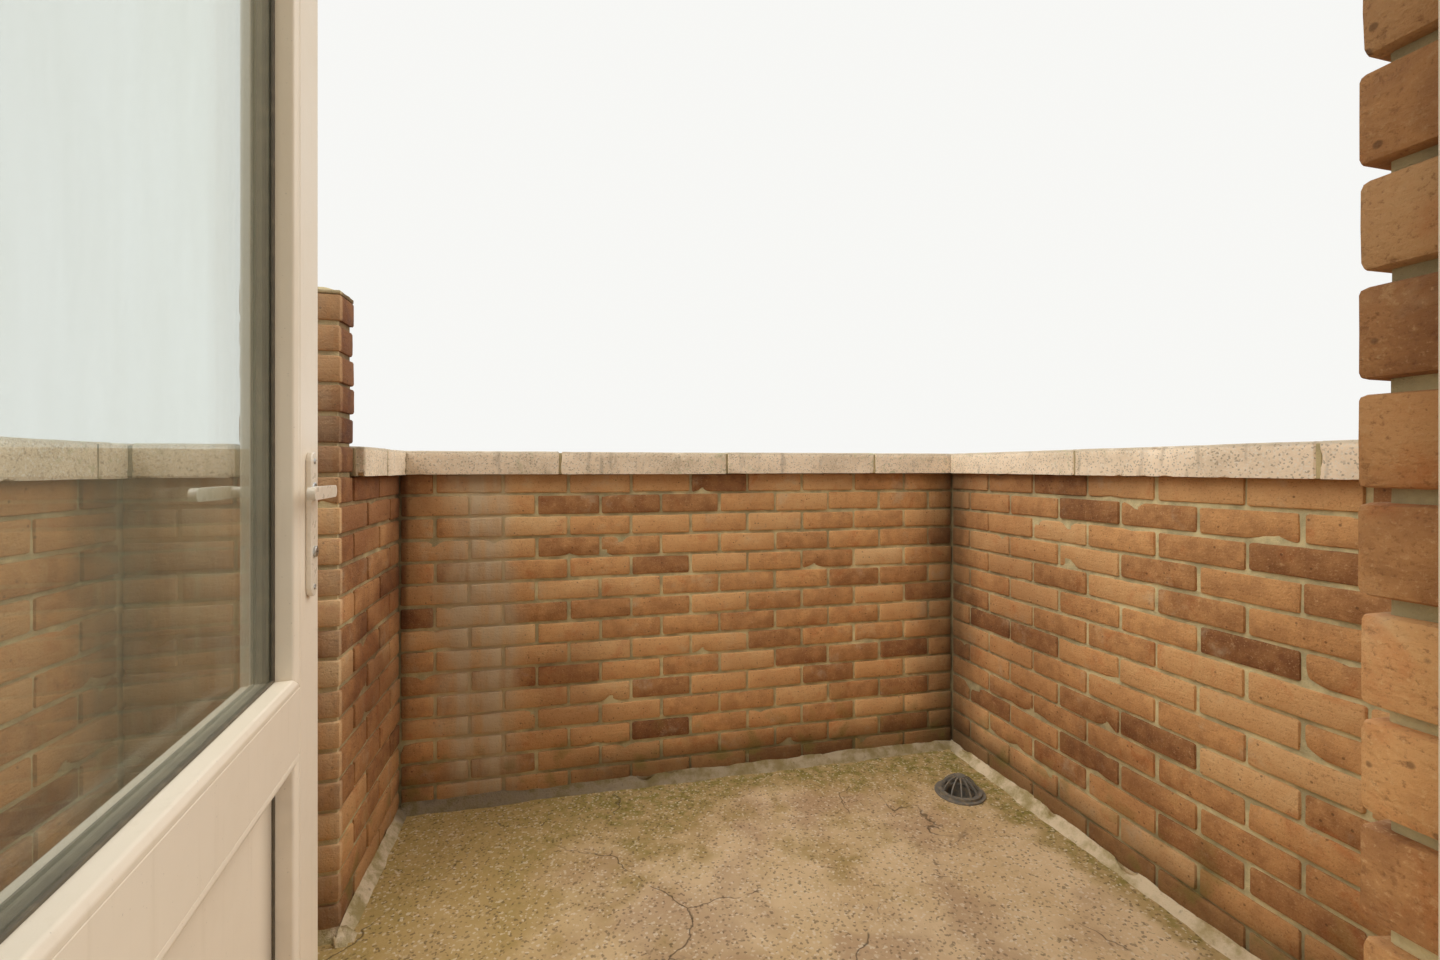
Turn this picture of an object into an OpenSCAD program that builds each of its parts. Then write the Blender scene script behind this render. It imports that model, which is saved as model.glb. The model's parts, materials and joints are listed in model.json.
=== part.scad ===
// Small terrace walled in brick, with copings, a paved floor and an outward-opening, half-glazed door.
// Millimetres. +X runs along the house wall, +Y leads away from it and +Z is up.
// The origin is the middle of the footprint, at the level that the walls stand on.

/* [Terrace] */
// Clear width between the side walls
terrace_w = 2520; // [2200:10:3000]
// Clear depth from the house wall to the back wall
terrace_d = 1925; // [1500:5:3000]
// Thickness of the concrete slab
slab_t = 100; // [80:5:150]
// Thickness of the mortar screed that makes the floor
screed_t = 50; // [30:5:70]
// Height and width of the mortar fillet along the foot of each wall
fillet_s = 40; // [25:1:60]

/* [Corner stack] */
// Width of the brick stack that fills the back left corner
stack_w = 445; // [400:5:600]
// How far the stack stands out from the back wall
stack_d = 554; // [450:2:700]
// Width of the half-brick pier on the stack's free corner
pier_w = 215; // [180:5:240]
// Depth of the pier
pier_d = 102; // [90:1:120]
// Courses in the pier
pier_courses = 6; // [2:1:9]
// Height of the mortar cap on the pier
cap_h = 22; // [12:1:40]

/* [Brickwork] */
// Height of one course with its joint
course_h = 75; // [72:1:80]
// Height of the bed joint at the foot of each course
joint_h = 10; // [8:1:12]
// How far the joints of the low walls have weathered back
joint_recess = 7; // [4:1:10]
// How far the joints of the house wall have weathered back
house_joint_recess = 11; // [6:1:14]
// Thickness of the three low walls
wall_t = 215; // [200:5:300]
// Courses in a low wall
wall_courses = 17; // [14:1:20]
// Thickness of the house wall without its plaster
house_t = 300; // [260:5:360]
// Courses in the house wall above its lintel
over_courses = 3; // [2:1:8]
// Thickness of the plaster on the room side
plaster_t = 15; // [10:1:20]

/* [Copings] */
// Thickness of a coping stone
coping_t = 80; // [60:1:100]
// How far a stone stands out past each face of its wall
coping_over = 25; // [20:1:40]
// Longest stone
stone_max = 640; // [500:10:900]
// Open joint between two stones
stone_joint = 6; // [3:1:10]
// Width of the drip groove under each edge
drip_w = 10; // [6:1:14]
// Depth of the drip groove
drip_d = 8; // [4:1:12]
// Chamfer along the upper edges
coping_chamfer = 6; // [2:1:12]

/* [Doorway] */
// Brickwork left between the left wall and the doorway
nib_w = 550; // [500:5:700]
// Width of the opening in the brickwork
opening_w = 980; // [900:5:1100]
// Height of the opening above its stone sill
opening_h = 2100; // [2000:5:2300]
// Thickness of the stone sill
sill_t = 75; // [60:1:90]
// How far the sill stands out into the terrace
sill_out = 35; // [20:1:60]
// Height of the concrete lintel
lintel_h = 150; // [100:5:220]
// Bearing of the lintel at each end
lintel_bearing = 150; // [100:5:200]

/* [Door frame] */
// Depth of brick reveal left outside the frame
set_back = 70; // [55:1:120]
// Face width of a frame member
frame_w = 57; // [45:1:70]
// Thickness of the frame's stop behind the leaf
stop_t = 15; // [10:1:25]
// How far the stop reaches in past the edge of the leaf
stop_lap = 12; // [8:1:20]
// Height of the frame's sill member below the leaf
frame_sill_h = 30; // [20:1:45]
// Clearance at the sides, head and back of the leaf
leaf_gap = 5; // [5:0.5:8]
// Clearance under the leaf
foot_gap = 8; // [6:0.5:12]

/* [Door leaf] */
// Thickness of the leaf
leaf_t = 70; // [60:1:80]
// Width of a stile
stile_w = 105; // [90:1:130]
// Height of the top rail
top_rail_h = 105; // [90:1:130]
// Height of the middle rail
middle_rail_h = 120; // [100:1:160]
// Height of the bottom rail
bottom_rail_h = 105; // [90:1:180]
// Lower edge of the glass above the foot of the leaf
light_z = 727; // [600:1:900]
// Thickness of the outer lip that the glass and the panel lie against
lip_t = 16; // [12:1:20]
// Thickness of the glass unit and of the panel
infill_t = 24; // [20:1:28]
// Width of the rebate that hides the edge of the infill
rebate_w = 12; // [10:1:16]
// Play around the infill in its rebate
infill_play = 2; // [1:0.5:4]
// Face width of a bead
bead_w = 16; // [14:1:22]
// Play at the ends of the short beads
bead_play = 0.3; // [0.2:0.1:1]
// How far the leaf stands open
open_angle = 96; // [80:1:96]

/* [Weather bar] */
// Projection of the weather bar
bar_out = 25; // [15:1:30]
// Height of the weather bar
bar_h = 35; // [20:1:50]
// Height of the weather bar above the foot of the leaf
bar_z = 10; // [5:1:30]
// Distance from each end of the weather bar to the edge of the leaf
bar_inset = 35; // [32:1:80]

/* [Hinges] */
// Number of hinges
hinge_count = 3; // [2:1:4]
// Height of the lowest hinge above the foot of the leaf
hinge_z = 220; // [150:5:300]
// Radius of a knuckle
knuckle_r = 9; // [8:0.5:10]
// Height of one knuckle
knuckle_h = 45; // [35:1:60]
// Radius of the hinge pin
pin_r = 5; // [4:0.5:6]
// Radial play of the pin in the leaf's knuckle
pin_play = 0.06; // [0.03:0.01:0.1]
// Gap between the two knuckles of a hinge
knuckle_gap = 0.5; // [0.3:0.1:1]
// Clearance between a knuckle and the face behind it
knuckle_clear = 1; // [0.5:0.5:2]
// Thickness of a hinge plate
plate_t = 4; // [3:0.5:6]
// Width of a hinge plate from the pin's axis
plate_w = 28; // [20:1:30]

/* [Handles] */
// Height of the levers above the foot of the leaf
handle_z = 1000; // [900:5:1100]
// Distance from the levers' axis to the free edge of the leaf
handle_backset = 52; // [40:1:60]
// Width of a handle plate
handle_plate_w = 32; // [26:1:40]
// Length of a handle plate
handle_plate_h = 220; // [180:5:260]
// Length of plate above the lever's axis
handle_plate_up = 60; // [40:1:90]
// Thickness of a handle plate
handle_plate_t = 8; // [6:1:10]
// Radius of a lever's neck
neck_r = 8; // [6:0.5:10]
// Length of a lever's neck
neck_l = 18; // [15:1:22]
// Length of a lever from its axis to the centre of its round tip
lever_l = 105; // [90:1:130]
// Height of a lever
lever_h = 18; // [14:1:24]
// Thickness of a lever
lever_t = 10; // [8:1:12]

/* [Rainwater outlet] */
// Distance from the outlet's axis to the right wall
outlet_from_right = 190; // [130:5:400]
// Distance from the outlet's axis to the back wall
outlet_from_back = 330; // [130:5:600]
// Bore radius of the outlet pipe
outlet_bore_r = 50; // [40:1:60]
// Wall of the outlet pipe
outlet_wall = 5; // [3:0.5:8]
// Clearance around the pipe in the floor
outlet_play = 0.3; // [0.2:0.1:1]
// Radius of the flange that lies on the floor
flange_r = 85; // [75:1:100]
// Thickness of the flange
flange_t = 6; // [4:1:10]
// Inner radius of the grate's ring
grate_ring_r = 60; // [56:1:66]
// Radial width of the grate's ring
grate_ring_w = 14; // [8:1:18]
// Height of the grate's ring
grate_ring_h = 8; // [5:1:12]
// Rise of the grate's dome above its foot
grate_rise = 56; // [40:1:70]
// Number of ribs
grate_ribs = 12; // [8:2:18]
// Thickness of a rib
rib_t = 4; // [3:0.5:6]
// Depth of a rib
rib_d = 7; // [5:0.5:10]
// Radius of the button that joins the ribs
button_r = 17; // [12:1:24]

/* [Hidden] */
$fn = 64;

brick_colour = [0.62, 0.44, 0.29];
mortar_colour = [0.70, 0.62, 0.49];
floor_colour = [0.62, 0.54, 0.39];
coping_colour = [0.84, 0.76, 0.66];
plaster_colour = [0.87, 0.84, 0.78];
door_colour = [0.86, 0.77, 0.67];
glass_colour = [0.62, 0.68, 0.64, 0.4];
steel_colour = [0.72, 0.71, 0.69];
handle_colour = [0.88, 0.82, 0.73];
outlet_colour = [0.36, 0.34, 0.30];

// Levels
floor_z = slab_t + screed_t;
wall_top = wall_courses * course_h;
sill_top = floor_z + sill_t;
opening_top = sill_top + opening_h;
lintel_top = opening_top + lintel_h;
house_top = lintel_top + over_courses * course_h;

// The first course whose bed joint is clear of the floor, the fillets and the sill
open_course = ceil(max(floor_z + fillet_s, sill_top) / course_h);
function last_course(top) = ceil(top / course_h) - 1;

// Plan: the footprint reaches from the plaster to the outer edge of the back coping
total_d = plaster_t + house_t + terrace_d + wall_t + coping_over;
room_y = -total_d / 2;
house_y0 = room_y + plaster_t;
house_y1 = house_y0 + house_t;
back_y = house_y1 + terrace_d;
inner_x = terrace_w / 2;
outer_x = inner_x + wall_t;
opening_x0 = -inner_x + nib_w;
opening_x1 = opening_x0 + opening_w;
stack_x1 = -inner_x + stack_w;
stack_y0 = back_y - stack_d;
pier_x0 = stack_x1 - pier_w;
pier_y1 = stack_y0 + pier_d;
pier_top = wall_top + pier_courses * course_h;

// Frame and leaf
frame_y1 = house_y1 - set_back;
frame_d = leaf_t + leaf_gap + stop_t;
frame_y0 = frame_y1 - frame_d;
stop_w = leaf_gap + stop_lap;
axis_out = knuckle_r + knuckle_clear;
axis_x = opening_x0 + frame_w + leaf_gap / 2;
axis_y = frame_y1 + axis_out;
leaf_x0 = leaf_gap / 2;
// The toe of the leaf swings on an arc, which clears the lock jamb by the same gap
toe_r = opening_x1 - frame_w - leaf_gap - axis_x;
leaf_w = sqrt(pow(toe_r, 2) - pow(axis_out + leaf_t, 2)) - leaf_x0;
leaf_z = sill_top + frame_sill_h + foot_gap;
leaf_h = opening_top - frame_w - leaf_gap - leaf_z;
face_out = -axis_out;
face_in = face_out - leaf_t;
bay_x0 = leaf_x0 + stile_w;
bay_w = leaf_w - 2 * stile_w;
panel_h = light_z - middle_rail_h - bottom_rail_h;
light_h = leaf_h - top_rail_h - light_z;
bead_d = leaf_t - lip_t - infill_t;
lever_x = leaf_x0 + leaf_w - handle_backset;
hinge_pitch = (leaf_h - 2 * hinge_z - 2 * knuckle_h) / (hinge_count - 1);

// Outlet
outlet_x = inner_x - outlet_from_right;
outlet_y = back_y - outlet_from_back;
pipe_r = outlet_bore_r + outlet_wall;
grate_z = floor_z + flange_t;
dome_foot_r = grate_ring_r + grate_ring_w / 2;
dome_r = (dome_foot_r * dome_foot_r + grate_rise * grate_rise) / (2 * grate_rise);

// Cutters reach this far past what they cut
past = 1;

// A box between two corners
module block(low, high) {
    translate(low) cube(high - low);
}

// Outlines extruded along X or along Y, with the outline's second axis upright
module along_x(length) {
    rotate([90, 0, 90]) linear_extrude(length) children();
}

module along_y(length) {
    translate([0, length, 0]) rotate([90, 0, 0]) linear_extrude(length) children();
}

module floor_layer(z0, z1) {
    difference() {
        union() {
            block([-inner_x, house_y1, z0], [inner_x, stack_y0, z1]);
            block([stack_x1, stack_y0, z0], [inner_x, back_y, z1]);
        }
        translate([outlet_x, outlet_y, z0 - past])
            cylinder(r = pipe_r + outlet_play, h = z1 - z0 + 2 * past);
    }
}

module floor_slab() {
    color("darkgray") floor_layer(0, slab_t);
}

module floor_screed() {
    color(floor_colour) floor_layer(slab_t, floor_z);
}

// Grooves that the weathered bed joints leave over a strip of plan, from one course up to a level
module bed_joints(low, high, first, top) {
    for (course = [first : last_course(top)])
        block([low[0], low[1], course * course_h], [high[0], high[1], course * course_h + joint_h]);
}

module back_wall() {
    outer_y = back_y + wall_t;
    color(brick_colour) difference() {
        block([-outer_x, back_y, 0], [outer_x, outer_y, wall_top]);
        bed_joints([stack_x1, back_y - past], [inner_x, back_y + joint_recess], open_course, wall_top);
        bed_joints([-outer_x - past, outer_y - joint_recess], [outer_x + past, outer_y + past], 1, wall_top);
        bed_joints([-outer_x - past, back_y - past], [joint_recess - outer_x, outer_y], 1, wall_top);
        bed_joints([outer_x - joint_recess, back_y - past], [outer_x + past, outer_y], 1, wall_top);
    }
}

module left_wall() {
    color(brick_colour) difference() {
        block([-outer_x, house_y1, 0], [-inner_x, back_y, wall_top]);
        bed_joints([-outer_x - past, house_y1 - past], [joint_recess - outer_x, back_y + past], 1, wall_top);
        bed_joints([-inner_x - joint_recess, house_y1 - past], [past - inner_x, stack_y0],
                   open_course, wall_top);
    }
}

// Grooves of the same bed joints round all four faces of a pier
module pier_joints(low, high, first, top) {
    for (course = [first : last_course(top)]) difference() {
        block([low[0] - past, low[1] - past, course * course_h],
              [high[0] + past, high[1] + past, course * course_h + joint_h]);
        block([low[0] + joint_recess, low[1] + joint_recess, 0],
              [high[0] - joint_recess, high[1] - joint_recess, top]);
    }
}

// The stack carries a small pier on its free corner, which rises through the copings
module corner_stack() {
    color(brick_colour) difference() {
        union() {
            block([-inner_x, stack_y0, 0], [stack_x1, back_y, wall_top]);
            block([pier_x0, stack_y0, wall_top], [stack_x1, pier_y1, pier_top]);
        }
        bed_joints([-inner_x, stack_y0 - past], [stack_x1 + past, stack_y0 + joint_recess],
                   open_course, wall_top);
        bed_joints([stack_x1 - joint_recess, stack_y0], [stack_x1 + past, back_y], open_course, wall_top);
        pier_joints([pier_x0, stack_y0], [stack_x1, pier_y1], wall_courses + 1, pier_top);
    }
}

module stack_cap() {
    color(mortar_colour) translate([pier_x0, stack_y0, pier_top]) hull() {
        cube([pier_w, pier_d, cap_h / 3]);
        translate([pier_w / 4, pier_d / 3, 0]) cube([pier_w / 2, pier_d / 3, cap_h]);
    }
}

module right_wall() {
    color(brick_colour) difference() {
        block([inner_x, house_y1, 0], [outer_x, back_y, wall_top]);
        bed_joints([outer_x - joint_recess, house_y1 - past], [outer_x + past, back_y + past], 1, wall_top);
        bed_joints([inner_x - past, house_y1 - past], [inner_x + joint_recess, back_y + past],
                   open_course, wall_top);
    }
}

// Half the width over which the house wall's face is clear of the walls and copings at a level
function clear_x(z) =
    z < wall_top ? inner_x : z < wall_top + coping_t ? inner_x - coping_over : outer_x + past;

// Grooves in the face of the house wall, and round the corner into the reveal at one jamb
module house_joints(jamb_x, side) {
    for (course = [open_course : last_course(house_top)]) {
        z = course * course_h;
        half = clear_x(z);
        block([-half, house_y1 - house_joint_recess, z], [half, house_y1 + past, z + joint_h]);
    }
    deep_x = jamb_x + side * house_joint_recess;
    clear_of_x = jamb_x - side * past;
    bed_joints([min(deep_x, clear_of_x), frame_y1], [max(deep_x, clear_of_x), house_y1 + past],
               open_course, opening_top);
}

// The house wall is full width beside the doorway and steps back over it for the lintel
module house_wall_left() {
    color(brick_colour) difference() {
        union() {
            block([-outer_x, house_y0, 0], [opening_x0, house_y1, opening_top]);
            block([-outer_x, house_y0, opening_top], [opening_x0 - lintel_bearing, house_y1, house_top]);
        }
        house_joints(opening_x0, -1);
    }
}

module house_wall_right() {
    color(brick_colour) difference() {
        union() {
            block([opening_x1, house_y0, 0], [outer_x, house_y1, opening_top]);
            block([opening_x1 + lintel_bearing, house_y0, opening_top], [outer_x, house_y1, house_top]);
        }
        house_joints(opening_x1, 1);
    }
}

module house_wall_over() {
    face = house_y1 - house_joint_recess;
    color(brick_colour) difference() {
        block([opening_x0 - lintel_bearing, house_y0, lintel_top],
              [opening_x1 + lintel_bearing, house_y1, house_top]);
        bed_joints([-outer_x, face], [outer_x, house_y1 + past], ceil(lintel_top / course_h), house_top);
    }
}

module door_lintel() {
    color(coping_colour)
        block([opening_x0 - lintel_bearing, house_y0, opening_top],
              [opening_x1 + lintel_bearing, house_y1, lintel_top]);
}

module door_step() {
    color(brick_colour) block([opening_x0, room_y, 0], [opening_x1, house_y1, floor_z]);
}

module stone_sill() {
    color(coping_colour) block([opening_x0, room_y, floor_z], [opening_x1, house_y1 + sill_out, sill_top]);
}

// The plaster covers the room side of the wall and lines the opening up to the frame
module plaster_left() {
    color(plaster_colour) {
        block([-outer_x, room_y, 0], [opening_x0, house_y0, house_top]);
        block([opening_x0, room_y, sill_top], [opening_x0 + plaster_t, frame_y0, opening_top]);
    }
}

module plaster_right() {
    color(plaster_colour) {
        block([opening_x1, room_y, 0], [outer_x, house_y0, house_top]);
        block([opening_x1 - plaster_t, room_y, sill_top], [opening_x1, frame_y0, opening_top]);
    }
}

module plaster_over() {
    color(plaster_colour) {
        block([opening_x0, room_y, opening_top], [opening_x1, house_y0, house_top]);
        block([opening_x0 + plaster_t, room_y, opening_top - plaster_t],
              [opening_x1 - plaster_t, frame_y0, opening_top]);
    }
}

// Section of a coping stone, across the wall
module coping_section() {
    width = wall_t + 2 * coping_over;
    inset = (coping_over - drip_w) / 2;
    difference() {
        polygon([
            [0, 0], [width, 0],
            [width, coping_t - coping_chamfer], [width - coping_chamfer, coping_t],
            [coping_chamfer, coping_t], [0, coping_t - coping_chamfer]
        ]);
        for (x = [inset, width - inset - drip_w])
            translate([x, -past]) square([drip_w, drip_d + past]);
    }
}

function stone_count(run) = ceil(run / stone_max);
function stone_length(run) = (run - (stone_count(run) - 1) * stone_joint) / stone_count(run);

module coping_back() {
    run = 2 * (outer_x + coping_over);
    length = stone_length(run);
    color(coping_colour)
        for (i = [0 : stone_count(run) - 1])
            translate([-run / 2 + i * (length + stone_joint), back_y - coping_over, wall_top])
                along_x(length) coping_section();
}

module side_coping(x0) {
    run = terrace_d - coping_over - stone_joint;
    length = stone_length(run);
    color(coping_colour)
        for (i = [0 : stone_count(run) - 1])
            translate([x0, house_y1 + i * (length + stone_joint), wall_top])
                along_y(length) coping_section();
}

module coping_left() {
    side_coping(-outer_x - coping_over);
}

module coping_right() {
    side_coping(inner_x - coping_over);
}

// The stack's stones: a narrow one beside the pier, and two behind it
module coping_stack() {
    x0 = -inner_x + coping_over + stone_joint;
    x1 = stack_x1 + coping_over;
    front = stack_y0 - coping_over;
    narrow_x1 = pier_x0 - stone_joint;
    step_y = pier_y1 + stone_joint;
    length = (back_y - coping_over - stone_joint - step_y - stone_joint) / 2;
    inset = (coping_over - drip_w) / 2;
    color(coping_colour) {
        difference() {
            translate([x0, front, wall_top]) along_x(narrow_x1 - x0) polygon([
                [0, 0], [step_y - stone_joint - front, 0], [step_y - stone_joint - front, coping_t],
                [coping_chamfer, coping_t], [0, coping_t - coping_chamfer]
            ]);
            block([x0 - past, front + inset, wall_top - past],
                  [narrow_x1 + past, front + inset + drip_w, wall_top + drip_d]);
        }
        for (i = [0, 1]) difference() {
            translate([x0, step_y + i * (length + stone_joint), wall_top]) along_y(length) polygon([
                [0, 0], [x1 - x0, 0], [x1 - x0, coping_t - coping_chamfer],
                [x1 - x0 - coping_chamfer, coping_t], [0, coping_t]
            ]);
            block([x1 - inset - drip_w, step_y - past, wall_top - past],
                  [x1 - inset, back_y, wall_top + drip_d]);
        }
    }
}

// Mortar fillets: sloped strips in the angle between the floor and each wall
module side_fillet(x, side, y0, y1) {
    translate([x, y0, floor_z]) along_y(y1 - y0) polygon([[0, 0], [-side * fillet_s, 0], [0, fillet_s]]);
}

module front_fillet(x0, x1, y) {
    translate([x0, y, floor_z]) along_x(x1 - x0) polygon([[0, 0], [-fillet_s, 0], [0, fillet_s]]);
}

module fillet_left() {
    color(mortar_colour) side_fillet(-inner_x, -1, house_y1, stack_y0);
}

module fillet_right() {
    color(mortar_colour) side_fillet(inner_x, 1, house_y1, back_y);
}

// Two strips that meet in a mitre round the stack's free corner
module fillet_stack() {
    color(mortar_colour) difference() {
        union() {
            front_fillet(-inner_x, stack_x1, stack_y0);
            side_fillet(stack_x1, -1, stack_y0, back_y);
            intersection() {
                front_fillet(stack_x1, stack_x1 + fillet_s, stack_y0);
                side_fillet(stack_x1, -1, stack_y0 - fillet_s, stack_y0);
            }
        }
        side_fillet(-inner_x, -1, house_y1, stack_y0);
    }
}

module fillet_back() {
    color(mortar_colour) difference() {
        front_fillet(stack_x1, inner_x, back_y);
        side_fillet(stack_x1, -1, stack_y0, back_y);
        side_fillet(inner_x, 1, house_y1, back_y);
    }
}

module fillet_house() {
    color(mortar_colour) difference() {
        for (ends = [[-inner_x, opening_x0], [opening_x1, inner_x]])
            translate([ends[0], house_y1, floor_z])
                along_x(ends[1] - ends[0]) polygon([[0, 0], [fillet_s, 0], [0, fillet_s]]);
        side_fillet(-inner_x, -1, house_y1, stack_y0);
        side_fillet(inner_x, 1, house_y1, back_y);
    }
}

module outlet_body() {
    color(outlet_colour) translate([outlet_x, outlet_y, 0]) difference() {
        union() {
            cylinder(r = pipe_r, h = floor_z + flange_t);
            translate([0, 0, floor_z]) cylinder(r = flange_r, h = flange_t);
        }
        translate([0, 0, -past]) cylinder(r = outlet_bore_r, h = floor_z + flange_t + 2 * past);
    }
}

// One rib follows an arc from the ring up into the button
module grate_rib() {
    root = button_r - rib_d;
    rotate([90, 0, 0]) translate([0, 0, -rib_t / 2]) linear_extrude(rib_t)
        intersection() {
            translate([0, grate_rise - dome_r]) difference() {
                circle(r = dome_r);
                circle(r = dome_r - rib_d);
            }
            translate([root, 0]) square([dome_foot_r + rib_d - root, grate_rise]);
        }
}

module outlet_grate() {
    color(outlet_colour) translate([outlet_x, outlet_y, grate_z]) {
        difference() {
            cylinder(r = grate_ring_r + grate_ring_w, h = grate_ring_h);
            translate([0, 0, -past]) cylinder(r = grate_ring_r, h = grate_ring_h + 2 * past);
        }
        for (i = [0 : grate_ribs - 1]) rotate([0, 0, i * 360 / grate_ribs]) grate_rib();
        translate([0, 0, grate_rise - rib_d]) cylinder(r = button_r, h = rib_d);
    }
}

// Frame members are L-shaped in section: a face member with a stop behind the leaf
module frame_jamb(x0, side) {
    color(door_colour) {
        block([x0, frame_y0, sill_top + frame_sill_h], [x0 + frame_w, frame_y1, opening_top - frame_w]);
        block([side > 0 ? x0 + frame_w : x0 - stop_w, frame_y0, sill_top + frame_sill_h],
              [side > 0 ? x0 + frame_w + stop_w : x0, frame_y0 + stop_t, opening_top - frame_w]);
    }
}

module frame_hinge_jamb() {
    frame_jamb(opening_x0, 1);
}

module frame_lock_jamb() {
    frame_jamb(opening_x1 - frame_w, -1);
}

module frame_head() {
    x_in = frame_w + stop_w;
    color(door_colour) {
        block([opening_x0, frame_y0, opening_top - frame_w], [opening_x1, frame_y1, opening_top]);
        block([opening_x0 + x_in, frame_y0, opening_top - frame_w - stop_w],
              [opening_x1 - x_in, frame_y0 + stop_t, opening_top - frame_w]);
    }
}

module frame_sill() {
    x_in = frame_w + stop_w;
    color(door_colour) {
        block([opening_x0, frame_y0, sill_top], [opening_x1, frame_y1, sill_top + frame_sill_h]);
        block([opening_x0 + x_in, frame_y0, sill_top + frame_sill_h],
              [opening_x1 - x_in, frame_y0 + stop_t, leaf_z + stop_lap]);
    }
}

// Heights of the hinges above the foot of the leaf, at the foot of the frame's knuckle
function hinge_heights() = [for (i = [0 : hinge_count - 1]) hinge_z + i * hinge_pitch];

module frame_hinges() {
    color(steel_colour) translate([axis_x, axis_y, leaf_z])
        for (z = hinge_heights()) translate([0, 0, z]) {
            cylinder(r = knuckle_r, h = knuckle_h);
            cylinder(r = pin_r, h = 2 * knuckle_h + knuckle_gap - 2 * plate_t);
            block([-plate_w, -axis_out, 0], [0, plate_t - axis_out, knuckle_h]);
        }
}

// The leaf is drawn shut, from its hinge axis and its foot, and then swung open
module on_leaf() {
    translate([axis_x, axis_y, leaf_z]) rotate([0, 0, open_angle]) children();
}

module leaf_hinges() {
    color(steel_colour) on_leaf()
        for (z = hinge_heights()) translate([0, 0, z + knuckle_h + knuckle_gap]) {
            difference() {
                union() {
                    cylinder(r = knuckle_r, h = knuckle_h);
                    block([0, -axis_out, 0], [plate_w, plate_t - axis_out, knuckle_h]);
                }
                translate([0, 0, -past]) cylinder(r = pin_r + pin_play, h = knuckle_h - plate_t + past);
            }
        }
}

// Room for an infill and its beads behind the outer lip, over a bay and its hidden edges
module rebate(z0, height) {
    block([bay_x0 - rebate_w, face_in - past, z0 - rebate_w],
          [bay_x0 + bay_w + rebate_w, face_out - lip_t, z0 + height + rebate_w]);
}

module leaf_member(low, high) {
    color(door_colour) on_leaf() difference() {
        block([low[0], face_in, low[1]], [high[0], face_out, high[1]]);
        rebate(bottom_rail_h, panel_h);
        rebate(light_z, light_h);
    }
}

module leaf_hinge_stile() {
    leaf_member([leaf_x0, 0], [bay_x0, leaf_h]);
}

module leaf_lock_stile() {
    leaf_member([bay_x0 + bay_w, 0], [leaf_x0 + leaf_w, leaf_h]);
}

module leaf_top_rail() {
    leaf_member([bay_x0, leaf_h - top_rail_h], [bay_x0 + bay_w, leaf_h]);
}

module leaf_middle_rail() {
    leaf_member([bay_x0, light_z - middle_rail_h], [bay_x0 + bay_w, light_z]);
}

module leaf_bottom_rail() {
    leaf_member([bay_x0, 0], [bay_x0 + bay_w, bottom_rail_h]);
}

// A glass unit or a panel, held against the lip with its edges hidden in the rebate
module infill(z0, height) {
    lap = rebate_w - infill_play;
    block([bay_x0 - lap, face_in + bead_d, z0 - lap],
          [bay_x0 + bay_w + lap, face_out - lip_t, z0 + height + lap]);
}

module leaf_panel() {
    color(door_colour) on_leaf() infill(bottom_rail_h, panel_h);
}

module leaf_glass() {
    color(glass_colour) on_leaf() infill(light_z, light_h);
}

// Two upright beads, and two level ones between them
module beads(z0, height) {
    x0 = bay_x0 - rebate_w;
    x1 = bay_x0 + bay_w + rebate_w;
    low = z0 - rebate_w;
    high = z0 + height + rebate_w;
    for (x = [x0, x1 - bead_w])
        block([x, face_in, low], [x + bead_w, face_in + bead_d, high]);
    for (z = [low, high - bead_w])
        block([x0 + bead_w + bead_play, face_in, z],
              [x1 - bead_w - bead_play, face_in + bead_d, z + bead_w]);
}

module glazing_beads() {
    color(door_colour) on_leaf() beads(light_z, light_h);
}

module panel_beads() {
    color(door_colour) on_leaf() beads(bottom_rail_h, panel_h);
}

module weather_bar() {
    color(door_colour) on_leaf()
        translate([leaf_x0 + bar_inset, face_out, bar_z])
            along_x(leaf_w - 2 * bar_inset)
                polygon([[0, 0], [bar_out, 0], [bar_out, bar_h / 3], [0, bar_h]]);
}

// A bar with round ends, flat against a face that looks along +Y
module round_bar(length, width, thickness) {
    rotate([-90, 0, 0]) {
        for (z = [0, length]) translate([0, -z, 0]) cylinder(r = width / 2, h = thickness);
        translate([-width / 2, -length, 0]) cube([width, length, thickness]);
    }
}

// Children are drawn on a face that looks along +Y, and stand on both faces of the leaf
module on_both_faces() {
    translate([lever_x, face_out, handle_z]) children();
    translate([lever_x, face_in, handle_z]) mirror([0, 1, 0]) children();
}

module handle_plates() {
    straight = handle_plate_h - handle_plate_w;
    color(handle_colour) on_leaf() on_both_faces()
        translate([0, 0, handle_plate_up - handle_plate_w / 2 - straight])
            round_bar(straight, handle_plate_w, handle_plate_t);
}

module handle_levers() {
    color(handle_colour) on_leaf() on_both_faces() translate([0, handle_plate_t, 0]) {
        rotate([-90, 0, 0]) cylinder(r = neck_r, h = neck_l);
        translate([0, neck_l, 0]) rotate([0, -90, 0]) round_bar(lever_l, lever_h, lever_t);
    }
}

floor_slab();
floor_screed();
back_wall();
left_wall();
right_wall();
corner_stack();
stack_cap();
house_wall_left();
house_wall_right();
house_wall_over();
door_lintel();
door_step();
stone_sill();
plaster_left();
plaster_right();
plaster_over();
coping_back();
coping_left();
coping_right();
coping_stack();
fillet_back();
fillet_left();
fillet_right();
fillet_stack();
fillet_house();
outlet_body();
outlet_grate();
frame_hinge_jamb();
frame_lock_jamb();
frame_head();
frame_sill();
frame_hinges();
leaf_hinges();
leaf_hinge_stile();
leaf_lock_stile();
leaf_top_rail();
leaf_middle_rail();
leaf_bottom_rail();
leaf_panel();
leaf_glass();
glazing_beads();
panel_beads();
weather_bar();
handle_plates();
handle_levers();
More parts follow.
